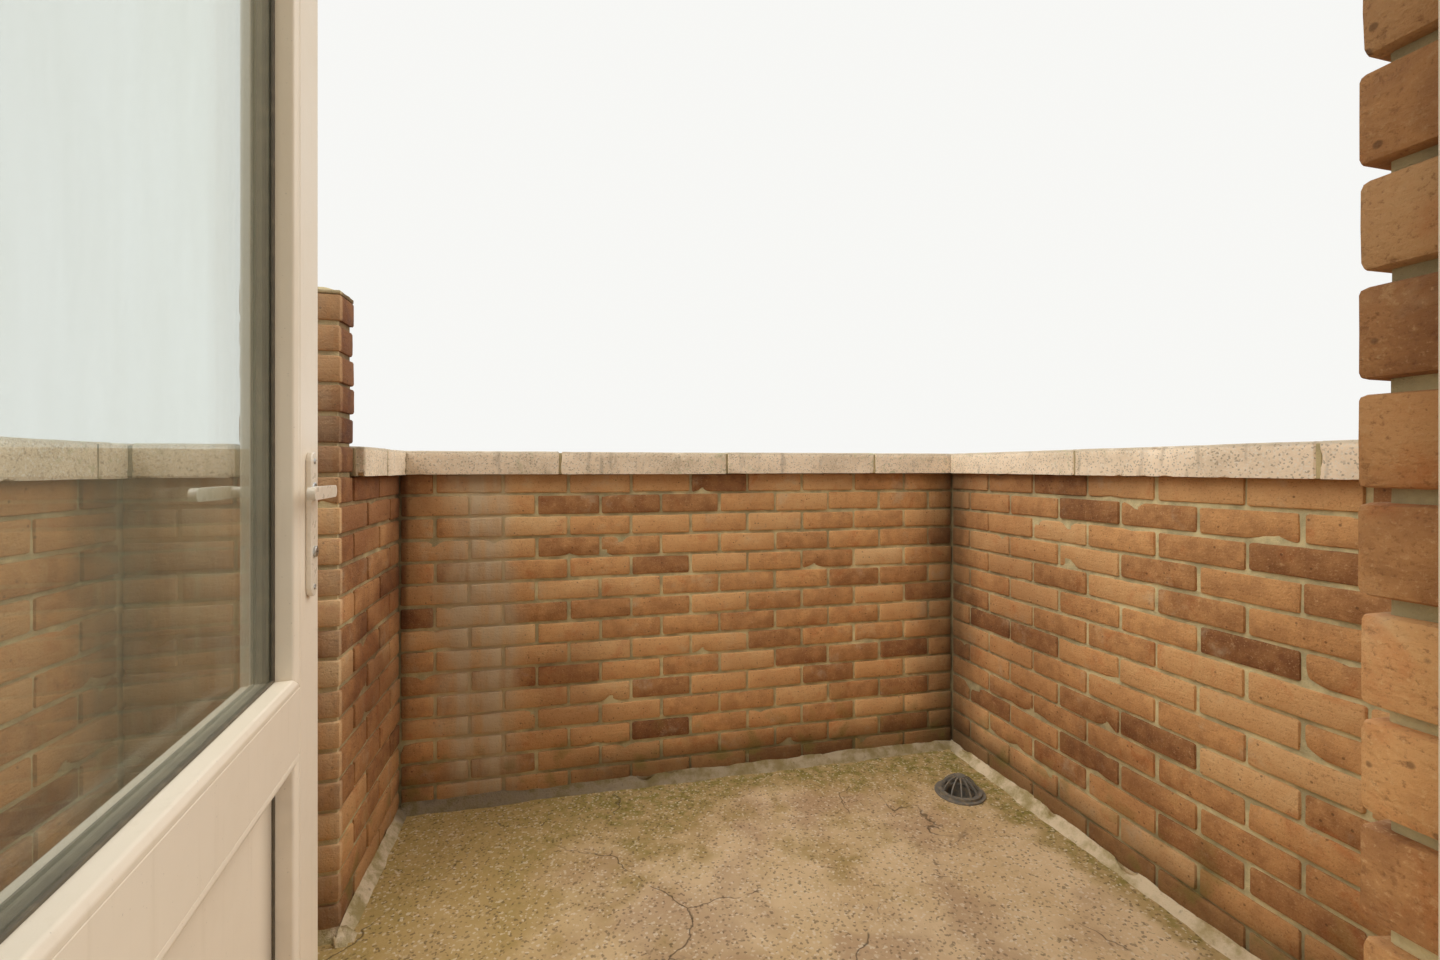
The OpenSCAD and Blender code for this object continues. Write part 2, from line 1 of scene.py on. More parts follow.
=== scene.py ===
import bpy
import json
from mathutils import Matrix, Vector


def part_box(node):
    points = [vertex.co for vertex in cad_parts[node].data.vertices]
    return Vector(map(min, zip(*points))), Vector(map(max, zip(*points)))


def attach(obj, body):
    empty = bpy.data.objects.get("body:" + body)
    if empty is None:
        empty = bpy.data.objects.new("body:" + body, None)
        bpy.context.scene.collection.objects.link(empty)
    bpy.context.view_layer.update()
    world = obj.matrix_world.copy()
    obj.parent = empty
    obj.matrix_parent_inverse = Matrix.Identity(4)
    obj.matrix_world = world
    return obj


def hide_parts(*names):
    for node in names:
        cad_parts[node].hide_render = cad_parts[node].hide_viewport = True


bl_info = {
    "name": "Walled brick terrace",
    "version": (1, 0, 0),
    "blender": (4, 5, 0),
    "location": "View3D > Sidebar > Terrace",
    "description": "Dresses a small walled terrace and its half-glazed door around a fixed model",
    "category": "Object",
}

import json
import math
from functools import lru_cache
from itertools import product

import bmesh
import bpy
import numpy as np
from bpy.props import FloatProperty, FloatVectorProperty, IntProperty, PointerProperty
from mathutils import Matrix, Vector

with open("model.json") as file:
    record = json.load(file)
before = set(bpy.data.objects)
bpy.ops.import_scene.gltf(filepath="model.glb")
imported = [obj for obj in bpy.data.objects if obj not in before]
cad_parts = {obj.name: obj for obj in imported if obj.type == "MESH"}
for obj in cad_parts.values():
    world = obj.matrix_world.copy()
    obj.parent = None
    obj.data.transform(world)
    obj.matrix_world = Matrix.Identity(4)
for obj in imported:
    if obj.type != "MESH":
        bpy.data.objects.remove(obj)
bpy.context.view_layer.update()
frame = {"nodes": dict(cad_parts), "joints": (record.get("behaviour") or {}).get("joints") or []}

# Levels and faces of the fixed model, in metres
FLOOR_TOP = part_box("floor_screed")[1].z
WALL_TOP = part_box("back_wall")[1].z
OPENING_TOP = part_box("door_lintel")[0].z
LINTEL_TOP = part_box("door_lintel")[1].z
HOUSE_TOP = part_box("house_wall_over")[1].z
OUTER_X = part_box("back_wall")[1].x
OUTER_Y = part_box("back_wall")[1].y
INNER_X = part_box("right_wall")[0].x
BACK_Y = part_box("back_wall")[0].y
HOUSE_OUT_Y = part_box("house_wall_left")[1].y
HOUSE_IN_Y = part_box("house_wall_left")[0].y
ROOM_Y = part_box("plaster_left")[0].y
OPENING_X0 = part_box("door_step")[0].x
OPENING_X1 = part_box("door_step")[1].x
LINTEL_X0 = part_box("door_lintel")[0].x
LINTEL_X1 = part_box("door_lintel")[1].x
STACK_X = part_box("corner_stack")[1].x
STACK_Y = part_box("corner_stack")[0].y
PIER_LOW, PIER_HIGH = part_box("stack_cap")

# The door's hinge axis, and how far the leaf stands open
HINGE = frame["joints"][0]
HINGE_AXIS = Vector(HINGE["pos_m"])
OPEN_ANGLE = math.radians(max(abs(a) for a in HINGE["range_deg"]))


# Settings

def length(name, description, default, **limits):
    return FloatProperty(
        name=name, description=description, default=default, unit="LENGTH", precision=4, **limits
    )


def amount(name, description, default):
    return FloatProperty(
        name=name, description=description, default=default, min=0.0, max=1.0, subtype="FACTOR"
    )


def colour(name, description, default):
    return FloatVectorProperty(
        name=name, description=description, default=default, size=3, min=0.0, max=1.0,
        subtype="COLOR_GAMMA",
    )


class BrickworkSettings(bpy.types.PropertyGroup):
    brick_l: length("Brick length", "Length of a whole brick", 0.215)
    brick_d: length("Brick depth", "Depth of a brick into the wall", 0.1025)
    brick_h: length("Brick height", "Height of a brick", 0.065)
    joint: length("Joint", "Thickness of a mortar joint", 0.010)
    edge: length("Worn edge", "Radius that the edges of a brick have worn to", 0.005)
    recess: length("Mortar recess", "How far the mortar has weathered back", 0.007)
    uneven: length("Unevenness", "How far a brick may stand in or out", 0.0016)
    chipped: amount("Chipped bricks", "Share of the bricks with a broken corner or edge", 0.42)
    dark: colour("Overburnt brick", "Darkest bricks", (0.50, 0.325, 0.19))
    common: colour("Common brick", "Most bricks", (0.815, 0.608, 0.388))
    pale: colour("Pale brick", "Lightest bricks", (0.87, 0.71, 0.50))
    flame: colour("Flame marks", "Redder patches where the fire reached", (0.90, 0.66, 0.50))
    iron: colour("Iron spots", "Dark specks of iron in the clay", (0.24, 0.15, 0.10))
    mortar: colour("Mortar", "Lime mortar in the joints", (0.88, 0.82, 0.62))
    damp: colour("Damp", "Stain where the walls meet the floor", (0.27, 0.20, 0.10))
    salt: colour("Salt", "Pale bloom on dry bricks", (0.80, 0.72, 0.58))
    moss: colour("Moss", "Growth on damp masonry", (0.40, 0.38, 0.16))
    # The house wall's bricks are laid this much darker in tone, as painted shade
    house_shade_tone: FloatProperty(
        name="House wall", description="How much darker the house wall's bricks are fired", default=-0.10,
    )
    salt_x: length("Salt column", "How far left of the middle the back wall is crusted with salt", 0.57)
    strip_x: length("Salt strip", "How far left of the middle the stack's front is palest", 1.135)
    seed: IntProperty(name="Seed", description="Start of the random draws", default=11)


# Noise and lattice blocks

# Large primes and odd numbers that scatter the cells of the lattice
PRIMES = (73856093, 19349663, 83492791)
SEED_STEP, SEED_START = 9973, 17
FIRST_SCATTER, SECOND_SCATTER = 1274126177, 668265263
POSITIVE = 0x7FFFFFFF


def soft_noise(points, size, seed):
    """Smooth value noise from -1 to 1 at each point, with lumps of the given size."""
    spots = np.asarray(points, float) / size
    cell = np.floor(spots)
    t = spots - cell
    t = t * t * (3 - 2 * t)
    cell = cell.astype(np.int64)
    total = np.zeros(len(spots))
    for corner in range(8):
        step = np.array([corner & 1, corner >> 1 & 1, corner >> 2 & 1])
        mixed = np.bitwise_xor.reduce((cell + step) * PRIMES, axis=1) ^ (seed * SEED_STEP + SEED_START)
        mixed = mixed & POSITIVE
        mixed = (mixed ^ mixed >> 13) * FIRST_SCATTER & POSITIVE
        mixed = (mixed ^ mixed >> 16) * SECOND_SCATTER & POSITIVE
        value = (mixed >> 8 & 0xFFFF) / 32767.5 - 1
        total += value * np.prod(np.where(step == 1, t, 1 - t), axis=1)
    return total


def rough_noise(points, size, seed, layers=3):
    """Noise with smaller lumps on larger ones, from about -1 to 1."""
    total, share, whole = 0, 1.0, 0
    for layer in range(layers):
        total = total + share * soft_noise(points, size / 2 ** layer, seed + layer)
        whole += share
        share *= 0.5
    return total / whole


def ease(value, low, high):
    """0 below low, 1 above high, and a smooth step between them."""
    t = np.clip((value - low) / (high - low), 0, 1)
    return t * t * (3 - 2 * t)


@lru_cache(maxsize=None)
def block_skin(nx, ny, nz):
    """Places in the lattice, and faces, of the skin of a block with that many lines each way."""
    places, found, faces = [], {}, []

    def at(lines):
        place = (lines[0], lines[1], lines[2])
        if place not in found:
            found[place] = len(places)
            places.append(place)
        return found[place]

    sizes = (nx, ny, nz)
    for a, b in ((0, 1), (0, 2), (1, 2)):
        c = 3 - a - b
        for p, q in product(range(sizes[a] - 1), range(sizes[b] - 1)):
            for level in (0, sizes[c] - 1):
                corners = [(p, q), (p, q + 1), (p + 1, q + 1), (p + 1, q)]
                if (c == 1) != (level > 0):
                    corners[1:] = corners[:0:-1]
                faces.append([at({a: u, b: v, c: level}) for u, v in corners])
    return np.array(places), np.array(faces)


def block_lines(low, high, edge, step):
    """Lattice lines from low to high, with one line at each rounded edge."""
    inside = max(1, round((high - low - 2 * edge) / step))
    return np.concatenate([[low], np.linspace(low + edge, high - edge, inside + 1), [high]])


def rounded_block(low, high, edge, steps):
    """Points, their outward directions and faces of a block with rounded edges."""
    low, high = np.array(low, float), np.array(high, float)
    edge = min(edge, 0.45 * float((high - low).min()))
    lines = [block_lines(low[a], high[a], edge, steps[a]) for a in range(3)]
    places, faces = block_skin(*(len(line) for line in lines))
    points = np.stack([lines[a][places[:, a]] for a in range(3)], axis=1)
    core = np.clip(points, low + edge, high - edge)
    out = points - core
    out /= np.linalg.norm(out, axis=1)[:, None]
    return core + out * edge, out, faces


class Build:
    """Gathers blocks and strips into one mesh, with a material and a tone for each face."""

    def __init__(self):
        self.points, self.faces, self.looks, self.tones = [], [], [], []
        self.count = 0

    def add(self, points, faces, look=0, tone=0.5):
        self.points.append(np.asarray(points, float))
        self.faces.extend([[int(v) + self.count for v in face] for face in faces])
        self.looks.extend([look] * len(faces))
        self.tones.extend([tone] * len(faces))
        self.count += len(points)

    def box(self, low, high, edge=0.0005, look=0):
        points, _, faces = rounded_block(low, high, edge, (1, 1, 1))
        self.add(points, faces, look)

    def keep_within(self, low, high, slack):
        """Moves the points that stand out past a box, and some slack, back to it."""
        for points in self.points:
            np.clip(points, np.array(low) - slack, np.array(high) + slack, out=points)

    def mesh(self, name, materials, smooth=0.6):
        """The mesh, with its materials named, and smooth but for the edges over that angle."""
        mesh = bpy.data.meshes.new(name)
        mesh.from_pydata(np.concatenate(self.points).tolist(), [], self.faces)
        for material in materials:
            mesh.materials.append(bpy.data.materials[material])
        mesh.polygons.foreach_set("material_index", self.looks)
        tone = mesh.attributes.new("tone", "FLOAT", "FACE")
        tone.data.foreach_set("value", self.tones)
        mesh.polygons.foreach_set("use_smooth", [True] * len(mesh.polygons))
        mesh.set_sharp_from_angle(angle=smooth)
        mesh.update()
        return mesh


def put(mesh, name, body, slot, *nodes):
    """Links a piece, lets it ride on its body, and hides the fixed nodes that it stands for."""
    piece = bpy.data.objects.new(name, mesh)
    bpy.context.scene.collection.objects.link(piece)
    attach(piece, body)
    if nodes:
        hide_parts(*nodes)
    return piece


def put_mortar(build, name, material, slot, node, moss):
    """Makes a trowelled piece of the floor, whose material reads each point's share of moss."""
    mesh = build.mesh(name, [material], smooth=1.0)
    mesh.attributes.new("moss", "FLOAT", "POINT").data.foreach_set("value", moss)
    put(mesh, name, "terrace", slot, node)


# Materials

def linear(shade):
    """A display colour as the light values that a shader takes."""
    return (*(c / 12.92 if c <= 0.04045 else ((c + 0.055) / 1.055) ** 2.4 for c in shade), 1.0)


def blended(first, second, share):
    """A colour that lies that share of the way from the first to the second."""
    return tuple((1 - share) * a + share * b for a, b in zip(first, second))


class Nodes:
    """A tree of shader nodes, added one at a time."""

    def __init__(self, tree):
        self.tree = tree

    def feed(self, socket, value):
        """Links another node's output to a socket, or sets the socket to a plain value."""
        if isinstance(value, bpy.types.NodeSocket):
            self.tree.links.new(value, socket)
        elif value is not None:
            socket.default_value = value

    def node(self, kind, inputs=None, **settings):
        node = self.tree.nodes.new(kind)
        for key, value in settings.items():
            setattr(node, key, value)
        for socket, value in (inputs or {}).items():
            self.feed(node.inputs[socket], value)
        return node

    def math(self, operation, a, b=0.0):
        return self.node("ShaderNodeMath", {0: a, 1: b}, operation=operation).outputs[0]

    def plus(self, a, b):
        return self.math("ADD", a, b)

    def minus(self, a, b):
        return self.math("SUBTRACT", a, b)

    def least(self, a, b):
        return self.math("MINIMUM", a, b)

    def most(self, first, *others):
        for other in others:
            first = self.math("MAXIMUM", first, other)
        return first

    def times(self, first, *others):
        for other in others:
            first = self.math("MULTIPLY", first, other)
        return first

    def off(self, value, place):
        """How far a value is from a place, to either side."""
        return self.math("ABSOLUTE", self.minus(value, place))

    def between(self, value, low, high, to_low=0.0, to_high=1.0):
        """A smooth step of a value from low to high."""
        inputs = {"Value": value, "From Min": low, "From Max": high, "To Min": to_low, "To Max": to_high}
        return self.node("ShaderNodeMapRange", inputs, interpolation_type="SMOOTHSTEP").outputs[0]

    def both(self, share, first, second):
        """A shader that turns from the first to the second as the share goes from 0 to 1."""
        return self.node("ShaderNodeMixShader", {0: share, 1: first.outputs[0], 2: second.outputs[0]})

    def show(self, shader, output):
        """Makes a shader the one that the tree's output shows."""
        self.feed(self.tree.nodes[output].inputs[0], shader.outputs[0])


class Finish(Nodes):
    """One material's nodes. Places are those of the model at rest, and lengths are in metres."""

    def __init__(self, name):
        self.material = bpy.data.materials.new(name)
        self.material.use_nodes = True
        super().__init__(self.material.node_tree)
        self.shader = self.tree.nodes["Principled BSDF"]
        self.place = self.node("ShaderNodeTexCoord").outputs["Object"]
        self.x, self.y, self.z = self.node("ShaderNodeSeparateXYZ", {0: self.place}).outputs

    def stretched(self, z, across=1.0):
        """Places for noise that is drawn out, up and down where z is less than 1."""
        return self.node("ShaderNodeMapping", {"Vector": self.place, "Scale": (across, across, z)}).outputs[0]

    def lumps(self, size, detail=2.0, roughness=0.5, place=None, distortion=0.0):
        """Noise from 0 to 1 with lumps of the given size."""
        inputs = {
            "Vector": place or self.place, "Scale": 1 / size, "Detail": detail,
            "Roughness": roughness, "Distortion": distortion,
        }
        return self.node("ShaderNodeTexNoise", inputs).outputs[0]

    def cells(self, size, place=None, feature="F1", output="Distance"):
        inputs = {"Vector": place or self.place, "Scale": 1 / size}
        return self.node("ShaderNodeTexVoronoi", inputs, feature=feature).outputs[output]

    def grit(self, size):
        """One random value from 0 to 1 for each grain of the given size."""
        return self.node("ShaderNodeSeparateXYZ", {0: self.cells(size, output="Color")}).outputs[0]

    def attribute(self, name):
        return self.node("ShaderNodeAttribute", attribute_name=name).outputs["Fac"]

    def mix(self, share, a, b, blend="MIX"):
        inputs = {0: share, 6: a, 7: b}
        return self.node("ShaderNodeMix", inputs, data_type="RGBA", blend_type=blend).outputs[2]

    def over(self, base, share, shade, blend="MIX"):
        """A colour laid over the base with that share."""
        return self.mix(share, base, linear(shade), blend)

    def layered(self, base, *layers):
        """Colours laid over the base one by one, as (value, none, full, share, colour, blend).

        A colour is missing where its value is at none, and has its share where the value is at full.
        """
        for value, none, full, share, *rest in layers:
            base = self.over(base, self.between(value, none, full, 0.0, share), *rest)
        return base

    def stops(self, value, *pairs):
        """A colour ramp through (place, colour) pairs, in rising order."""
        node = self.node("ShaderNodeValToRGB", {0: value})
        ramp = node.color_ramp
        while len(ramp.elements) < len(pairs):
            ramp.elements.new(0.5)
        for element, (at, shade) in zip(ramp.elements, pairs):
            element.position = at
            element.color = linear(shade)
        return node.outputs[0]

    def bumps(self, *layers):
        """Bumps one over the other, as (height, how far the highest stands out) pairs."""
        normal = None
        for height, distance in layers:
            inputs = {"Height": height, "Distance": distance, "Normal": normal}
            normal = self.node("ShaderNodeBump", inputs).outputs[0]
        return normal

    def done(self, base, roughness, normal=None, **constants):
        """Sets the shader and returns the material."""
        inputs = {"Base Color": base, "Roughness": roughness, "Normal": normal, **constants}
        for socket, value in inputs.items():
            self.feed(self.shader.inputs[socket.replace("_", " ")], value)
        return self.material


def corner_damp_and_shade(finish, inside, streaks):
    """Damp runs down the inner corners, with painted shade in the same corners; less on the back wall beside
    the stack.
    """
    nearest = None
    for at_x, at_y, dry in ((INNER_X, BACK_Y, 0.0), (-INNER_X, STACK_Y, 0.0), (STACK_X, BACK_Y, 0.13)):
        away = finish.plus(finish.most(finish.off(finish.x, at_x), finish.off(finish.y, at_y)), dry)
        nearest = away if nearest is None else finish.least(nearest, away)
    nearest = finish.plus(nearest, finish.times(streaks, -0.14))
    return finish.times(finish.between(nearest, 0.16, -0.06, 0.0, 0.62), inside)


def shaded_sides(finish, inside, from_back, drift):
    """Painted shade on the left wall and the stack's side behind the open door, and on the right wall's end
    by the back corner.
    """
    x, y, z = finish.x, finish.y, finish.z
    on_left = finish.times(finish.between(x, 0.03 - INNER_X, -INNER_X), inside)
    on_right = finish.times(finish.between(x, INNER_X - 0.03, INNER_X), inside)
    far_end = finish.times(on_right, finish.between(from_back, 0.30, 0.95, 0.55, 0.0))
    on_stack = finish.times(
        finish.between(finish.off(x, STACK_X), 0.03, 0.01),
        finish.between(y, STACK_Y + 0.006, STACK_Y + 0.02),
        finish.between(from_back, -0.012, -0.004),
        finish.between(z, 0.25, 0.80, 0.25, 1.0),
    )
    sides = finish.most(finish.times(on_left, 0.40), far_end, on_stack)
    return finish.times(sides, finish.between(drift, 0.20, 0.62, 0.25, 0.75))


def salt_crust(finish, s, inside, from_back, drift, streaks):
    """A column of salt near the left end of the back wall, and a pale strip on the stack's front."""
    off = finish.plus(finish.off(finish.x, -s.salt_x), finish.times(drift, 0.16))
    column = finish.times(finish.between(off, 0.24, 0.13), finish.between(from_back, 0.03, 0.01))
    front = finish.times(finish.between(finish.off(finish.y, STACK_Y), 0.02, 0.008),
                         finish.between(finish.x, STACK_X + 0.02, STACK_X))
    off = finish.plus(finish.off(finish.x, -s.strip_x), finish.times(drift, 0.04))
    strip = finish.times(front, finish.between(off, 0.10, 0.05, 0.45, 1.0))
    return finish.times(finish.most(column, strip), finish.between(streaks, 0.36, 0.60, 0.40, 0.85), inside)


def grime_and_shade(finish, base, s):
    """Damp, salt and moss over a masonry colour, with painted shade in the corners, on the shaded sides,
    under the copings and high on the house wall.
    """
    drift = finish.lumps(0.22, detail=3.0)
    streaks = finish.lumps(0.05, detail=4.0, roughness=0.6, place=finish.stretched(0.16))
    patches = finish.lumps(0.55, detail=3.0, roughness=0.6)
    from_back = finish.minus(BACK_Y, finish.y)
    from_side = finish.minus(INNER_X, finish.math("ABSOLUTE", finish.x))
    inside = finish.between(finish.least(from_side, from_back), -0.09, -0.03)
    # Damp streaks and painted shade in the inner corners
    base = finish.over(base, corner_damp_and_shade(finish, inside, streaks), s.damp)
    # Painted shade on the shaded sides, multiplied in with the overburnt brick colour
    base = finish.over(base, shaded_sides(finish, inside, from_back, drift), s.dark, "MULTIPLY")
    base = finish.layered(base, (patches, 0.47, 0.74, 0.36, s.dark, "MULTIPLY"))
    base = finish.over(base, salt_crust(finish, s, inside, from_back, drift, streaks), s.salt)

    # Damp and moss rise from the floor. The darker band under the copings and the darkening high on the house
    # wall are painted shade.
    rise = finish.plus(finish.z, finish.times(drift, -0.16))
    low = finish.between(rise, FLOOR_TOP - 0.03, FLOOR_TOP + 0.12, 1.0, 0.0)
    dry_foot = finish.between(finish.x, -0.10, -0.45, 1.0, 0.35)
    wet = finish.times(finish.between(inside, 0.0, 1.0, 0.30, 0.60), dry_foot)
    base = finish.over(base, finish.times(low, wet), s.damp)
    green = finish.between(finish.lumps(0.09, detail=4.0), 0.52, 0.68)
    green = finish.times(green, finish.between(rise, FLOOR_TOP - 0.05, FLOOR_TOP + 0.30, 0.55, 0.0))
    base = finish.over(base, green, s.moss)
    # Painted shade: a darker band under the copings' overhang
    base = finish.layered(base, (rise, WALL_TOP - 0.17, WALL_TOP - 0.08, 0.30, s.dark, "MULTIPLY"))
    # Painted shade: the house wall darkens higher up, laid in the iron-spot colour
    on_house = finish.between(finish.y, HOUSE_OUT_Y + 0.03, HOUSE_OUT_Y + 0.01)
    return finish.over(base, finish.times(on_house, finish.between(finish.z, 1.10, 2.00, 0.0, 0.46)), s.iron)


def brick_material(s):
    finish = Finish("fired_brick")
    mottle = finish.lumps(0.045, detail=4.0, roughness=0.6)
    blush = finish.lumps(0.10, detail=5.0, roughness=0.68, distortion=0.6)
    flecks = finish.lumps(0.013, detail=4.0, roughness=0.75)
    grain = finish.lumps(0.0045, detail=3.0, roughness=0.7)
    bloom = finish.lumps(0.12, detail=4.0, roughness=0.7)
    creases = finish.lumps(0.012, detail=3.0, roughness=0.6, place=finish.stretched(1.6, 0.35))
    base = finish.stops(
        finish.plus(finish.attribute("tone"), finish.between(mottle, 0.3, 0.7, -0.10, 0.10)),
        (0.0, s.dark),
        (0.22, blended(s.dark, s.common, 0.45)),
        (0.5, s.common),
        (0.8, blended(s.common, s.pale, 0.5)),
        (1.0, s.pale),
    )
    base = finish.layered(
        base,
        (blush, 0.54, 0.72, 0.45, s.flame, "MULTIPLY"),
        (flecks, 0.57, 0.70, 0.40, s.pale),
        (flecks, 0.42, 0.30, 0.50, s.dark),
        (grain, 0.56, 0.74, 0.50, s.pale),
        (grain, 0.44, 0.28, 0.55, s.dark),
        (finish.cells(0.028), 0.13, 0.07, 0.55, s.iron),
        (bloom, 0.56, 0.75, 0.45, s.salt),
    )
    pits = finish.between(finish.cells(0.011), 0.0, 0.35)
    normal = finish.bumps((pits, 0.0007), (grain, 0.0012), (flecks, 0.0018), (creases, 0.0016))
    roughness = finish.between(mottle, 0.2, 0.8, 0.80, 0.96)
    return finish.done(grime_and_shade(finish, base, s), roughness, normal, Specular_IOR_Level=0.3)


def mortar_material(s):
    finish = Finish("lime_mortar")
    grain = finish.lumps(0.004, detail=3.0, roughness=0.7)
    smear = finish.lumps(0.07, detail=4.0, roughness=0.6)
    dim = tuple(0.80 * c for c in s.mortar)
    base = finish.mix(finish.between(smear, 0.35, 0.65), linear(dim), linear(s.mortar))
    base = finish.layered(base, (grain, 0.58, 0.75, 0.5, s.salt))
    normal = finish.bumps((grain, 0.0020), (smear, 0.004))
    return finish.done(grime_and_shade(finish, base, s), 0.95, normal, Specular_IOR_Level=0.2)


# Brickwork

# Steps of a brick's lattice along its long sides, its middle one and its short ones
LONG_STEP, MIDDLE_STEP, SHORT_STEP = 0.036, 0.06, 0.030
LONG_SIDE = 0.09
# Lumps in a brick's faces, how far a break reaches, and how far out of true a brick is laid
FACE_LUMP, FACE_RELIEF = 0.035, 0.0011
BREAK_LOW, BREAK_HIGH, BREAK_DEPTH = 0.014, 0.034, 0.45
TILT, ROLL = 0.004, 0.003
# Gaps over the mortar of a low wall and of the house wall, and how far one block laps into another
TOP_GAP, OPEN_TOP_GAP, LAP = 0.0005, 0.008, 0.02
# The mortar's rounded edges, lattice and lumps
MORTAR_EDGE, MORTAR_STEP, MORTAR_LUMP, MORTAR_RELIEF, MORTAR_SEED = 0.004, 0.024, 0.05, 0.0022, 77


def coursed_run(start, end, half_first, s):
    """Lengths of brick along one course, laid in half bricks that are fitted to the run."""
    half = (s.brick_l + s.joint) / 2
    units = max(1, round((end - start + s.joint) / half))
    unit = (end - start + s.joint) / units
    cuts = list(range(half_first, units, 2))
    cuts = ([0] if cuts[:1] != [0] else []) + cuts + [units]
    return [(start + a * unit, start + b * unit - s.joint) for a, b in zip(cuts, cuts[1:]) if b > a]


def lay_brick(build, low, high, s, rng, tone_shift=0.0, buried=False):
    """One worn brick, a little out of true and perhaps broken. A buried one has fewer points."""
    sides = np.subtract(high, low)
    steps = [LONG_STEP if side > LONG_SIDE else SHORT_STEP for side in sides]
    steps[int(np.argsort(sides)[1])] = MIDDLE_STEP
    if buried:
        steps = [s.brick_l] * 3
    points, out, faces = rounded_block(low, high, s.edge * rng.uniform(0.8, 1.5), steps)
    centre = (np.array(low) + np.array(high)) / 2
    seed = int(rng.integers(1, 9999))
    points = points + out * (FACE_RELIEF * rough_noise(points, FACE_LUMP, seed, 2))[:, None]
    if rng.random() < s.chipped:
        for _ in range(int(rng.integers(1, 4))):
            corner = np.where(rng.random(3) < 0.5, low, high)
            along = int(np.argmax(sides))
            corner[along] = rng.uniform(low[along], high[along])
            reach = rng.uniform(BREAK_LOW, BREAK_HIGH)
            near = ease(reach - np.linalg.norm(points - corner, axis=1), 0, reach)
            inward = centre - corner
            inward[along] = 0
            inward /= np.linalg.norm(inward) + 1e-9
            points = points + inward * (near * reach * BREAK_DEPTH)[:, None]
    tilt = Matrix.Rotation(rng.normal(0, TILT), 3, "Z") @ Matrix.Rotation(rng.normal(0, TILT), 3, "X")
    tilt = tilt @ Matrix.Rotation(rng.normal(0, ROLL), 3, "Y")
    shift = rng.uniform(-1, 1, 3) * s.uneven
    points = (points - centre) @ np.array(tilt).T + centre + shift
    build.add(points, faces, 0, float(np.clip(rng.normal(0.5, 0.19) + tone_shift, 0.02, 0.98)))


def lay_skin(build, along, run, depth, levels, s, rng, halves=(0, 1), tone_shift=0.0, inside=False):
    """A half-brick skin of whole courses along X (0) or Y (1). Halves: which courses begin with one.

    Inside a wall, only the bricks at its ends and along its top can be seen.
    """
    z0, z1 = levels
    courses = round((z1 - z0) / (s.brick_h + s.joint))
    pitch = (z1 - z0) / courses
    for course in range(courses):
        ends = run(course) if callable(run) else run
        spans = coursed_run(ends[0], ends[1], halves[course % 2], s)
        for a, b in spans:
            low, high = [0, 0, z0 + course * pitch + s.joint], [0, 0, z0 + (course + 1) * pitch]
            low[along], high[along] = a, b
            low[1 - along], high[1 - along] = depth
            at_edge = a == spans[0][0] or b == spans[-1][1] or course == courses - 1
            lay_brick(build, low, high, s, rng, tone_shift, inside and not at_edge)


def lay_mortar(build, low, high, low_recess, high_recess):
    """The mortar of a wall, set back from its faces, with an uneven surface."""
    low = [a + r for a, r in zip(low, low_recess)]
    high = [a - r for a, r in zip(high, high_recess)]
    points, out, faces = rounded_block(low, high, MORTAR_EDGE, [MORTAR_STEP] * 3)
    points = points + out * (MORTAR_RELIEF * rough_noise(points, MORTAR_LUMP, MORTAR_SEED))[:, None]
    build.add(points, faces, 1)


def finish_brickwork(build, node, *shared):
    """Keeps the masonry inside the faces of its fixed nodes and makes the piece."""
    boxes = [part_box(n) for n in (node, *shared)]
    build.keep_within(np.min([b[0] for b in boxes], axis=0), np.max([b[1] for b in boxes], axis=0), 0.002)
    name = node + "_brickwork"
    put(build.mesh(name, ["fired_brick", "lime_mortar"]), name, "terrace", "brick", node)


class TERRACE_OT_low_walls(bpy.types.Operator):
    """Lays the back and side walls brick by brick"""

    bl_idname = "terrace.low_walls"
    bl_label = "Low walls"

    def execute(self, context):
        s = context.scene.terrace_brickwork
        levels = (0.0, WALL_TOP)
        skin = s.brick_d + s.joint
        rng = np.random.default_rng(s.seed)

        # Outer corners interlock: the back wall runs through on even courses, the sides on odd ones
        def back_outer(course):
            return (-OUTER_X, OUTER_X) if course % 2 == 0 else (-OUTER_X + skin, OUTER_X - skin)

        def side_outer(course):
            return (HOUSE_OUT_Y, OUTER_Y - skin) if course % 2 == 0 else (HOUSE_OUT_Y, OUTER_Y)

        back = Build()
        lay_skin(back, 0, back_outer, (OUTER_Y - s.brick_d, OUTER_Y), levels, s, rng, (0, 0))
        lay_skin(back, 0, (STACK_X, INNER_X), (BACK_Y, BACK_Y + s.brick_d), levels, s, rng, (1, 0))
        lay_mortar(back, (-OUTER_X + skin, BACK_Y, 0), (OUTER_X - skin, OUTER_Y, WALL_TOP),
                   (0, s.recess, TOP_GAP), (0, s.recess, TOP_GAP))
        finish_brickwork(back, "back_wall")
        for name, side, end in (("left_wall", -1, STACK_Y), ("right_wall", 1, BACK_Y)):
            wall = Build()
            outer = sorted((side * OUTER_X, side * (OUTER_X - s.brick_d)))
            inner = sorted((side * INNER_X, side * (INNER_X + s.brick_d)))
            lay_skin(wall, 1, side_outer, outer, levels, s, rng)
            lay_skin(wall, 1, (HOUSE_OUT_Y, end - s.joint), inner, levels, s, rng, (1, 0))
            x0, x1 = sorted((side * INNER_X, side * OUTER_X))
            lay_mortar(wall, (x0, HOUSE_OUT_Y, 0), (x1, OUTER_Y, WALL_TOP),
                       (s.recess, 0, TOP_GAP), (s.recess, s.recess, TOP_GAP))
            finish_brickwork(wall, name, "back_wall")
        return {"FINISHED"}


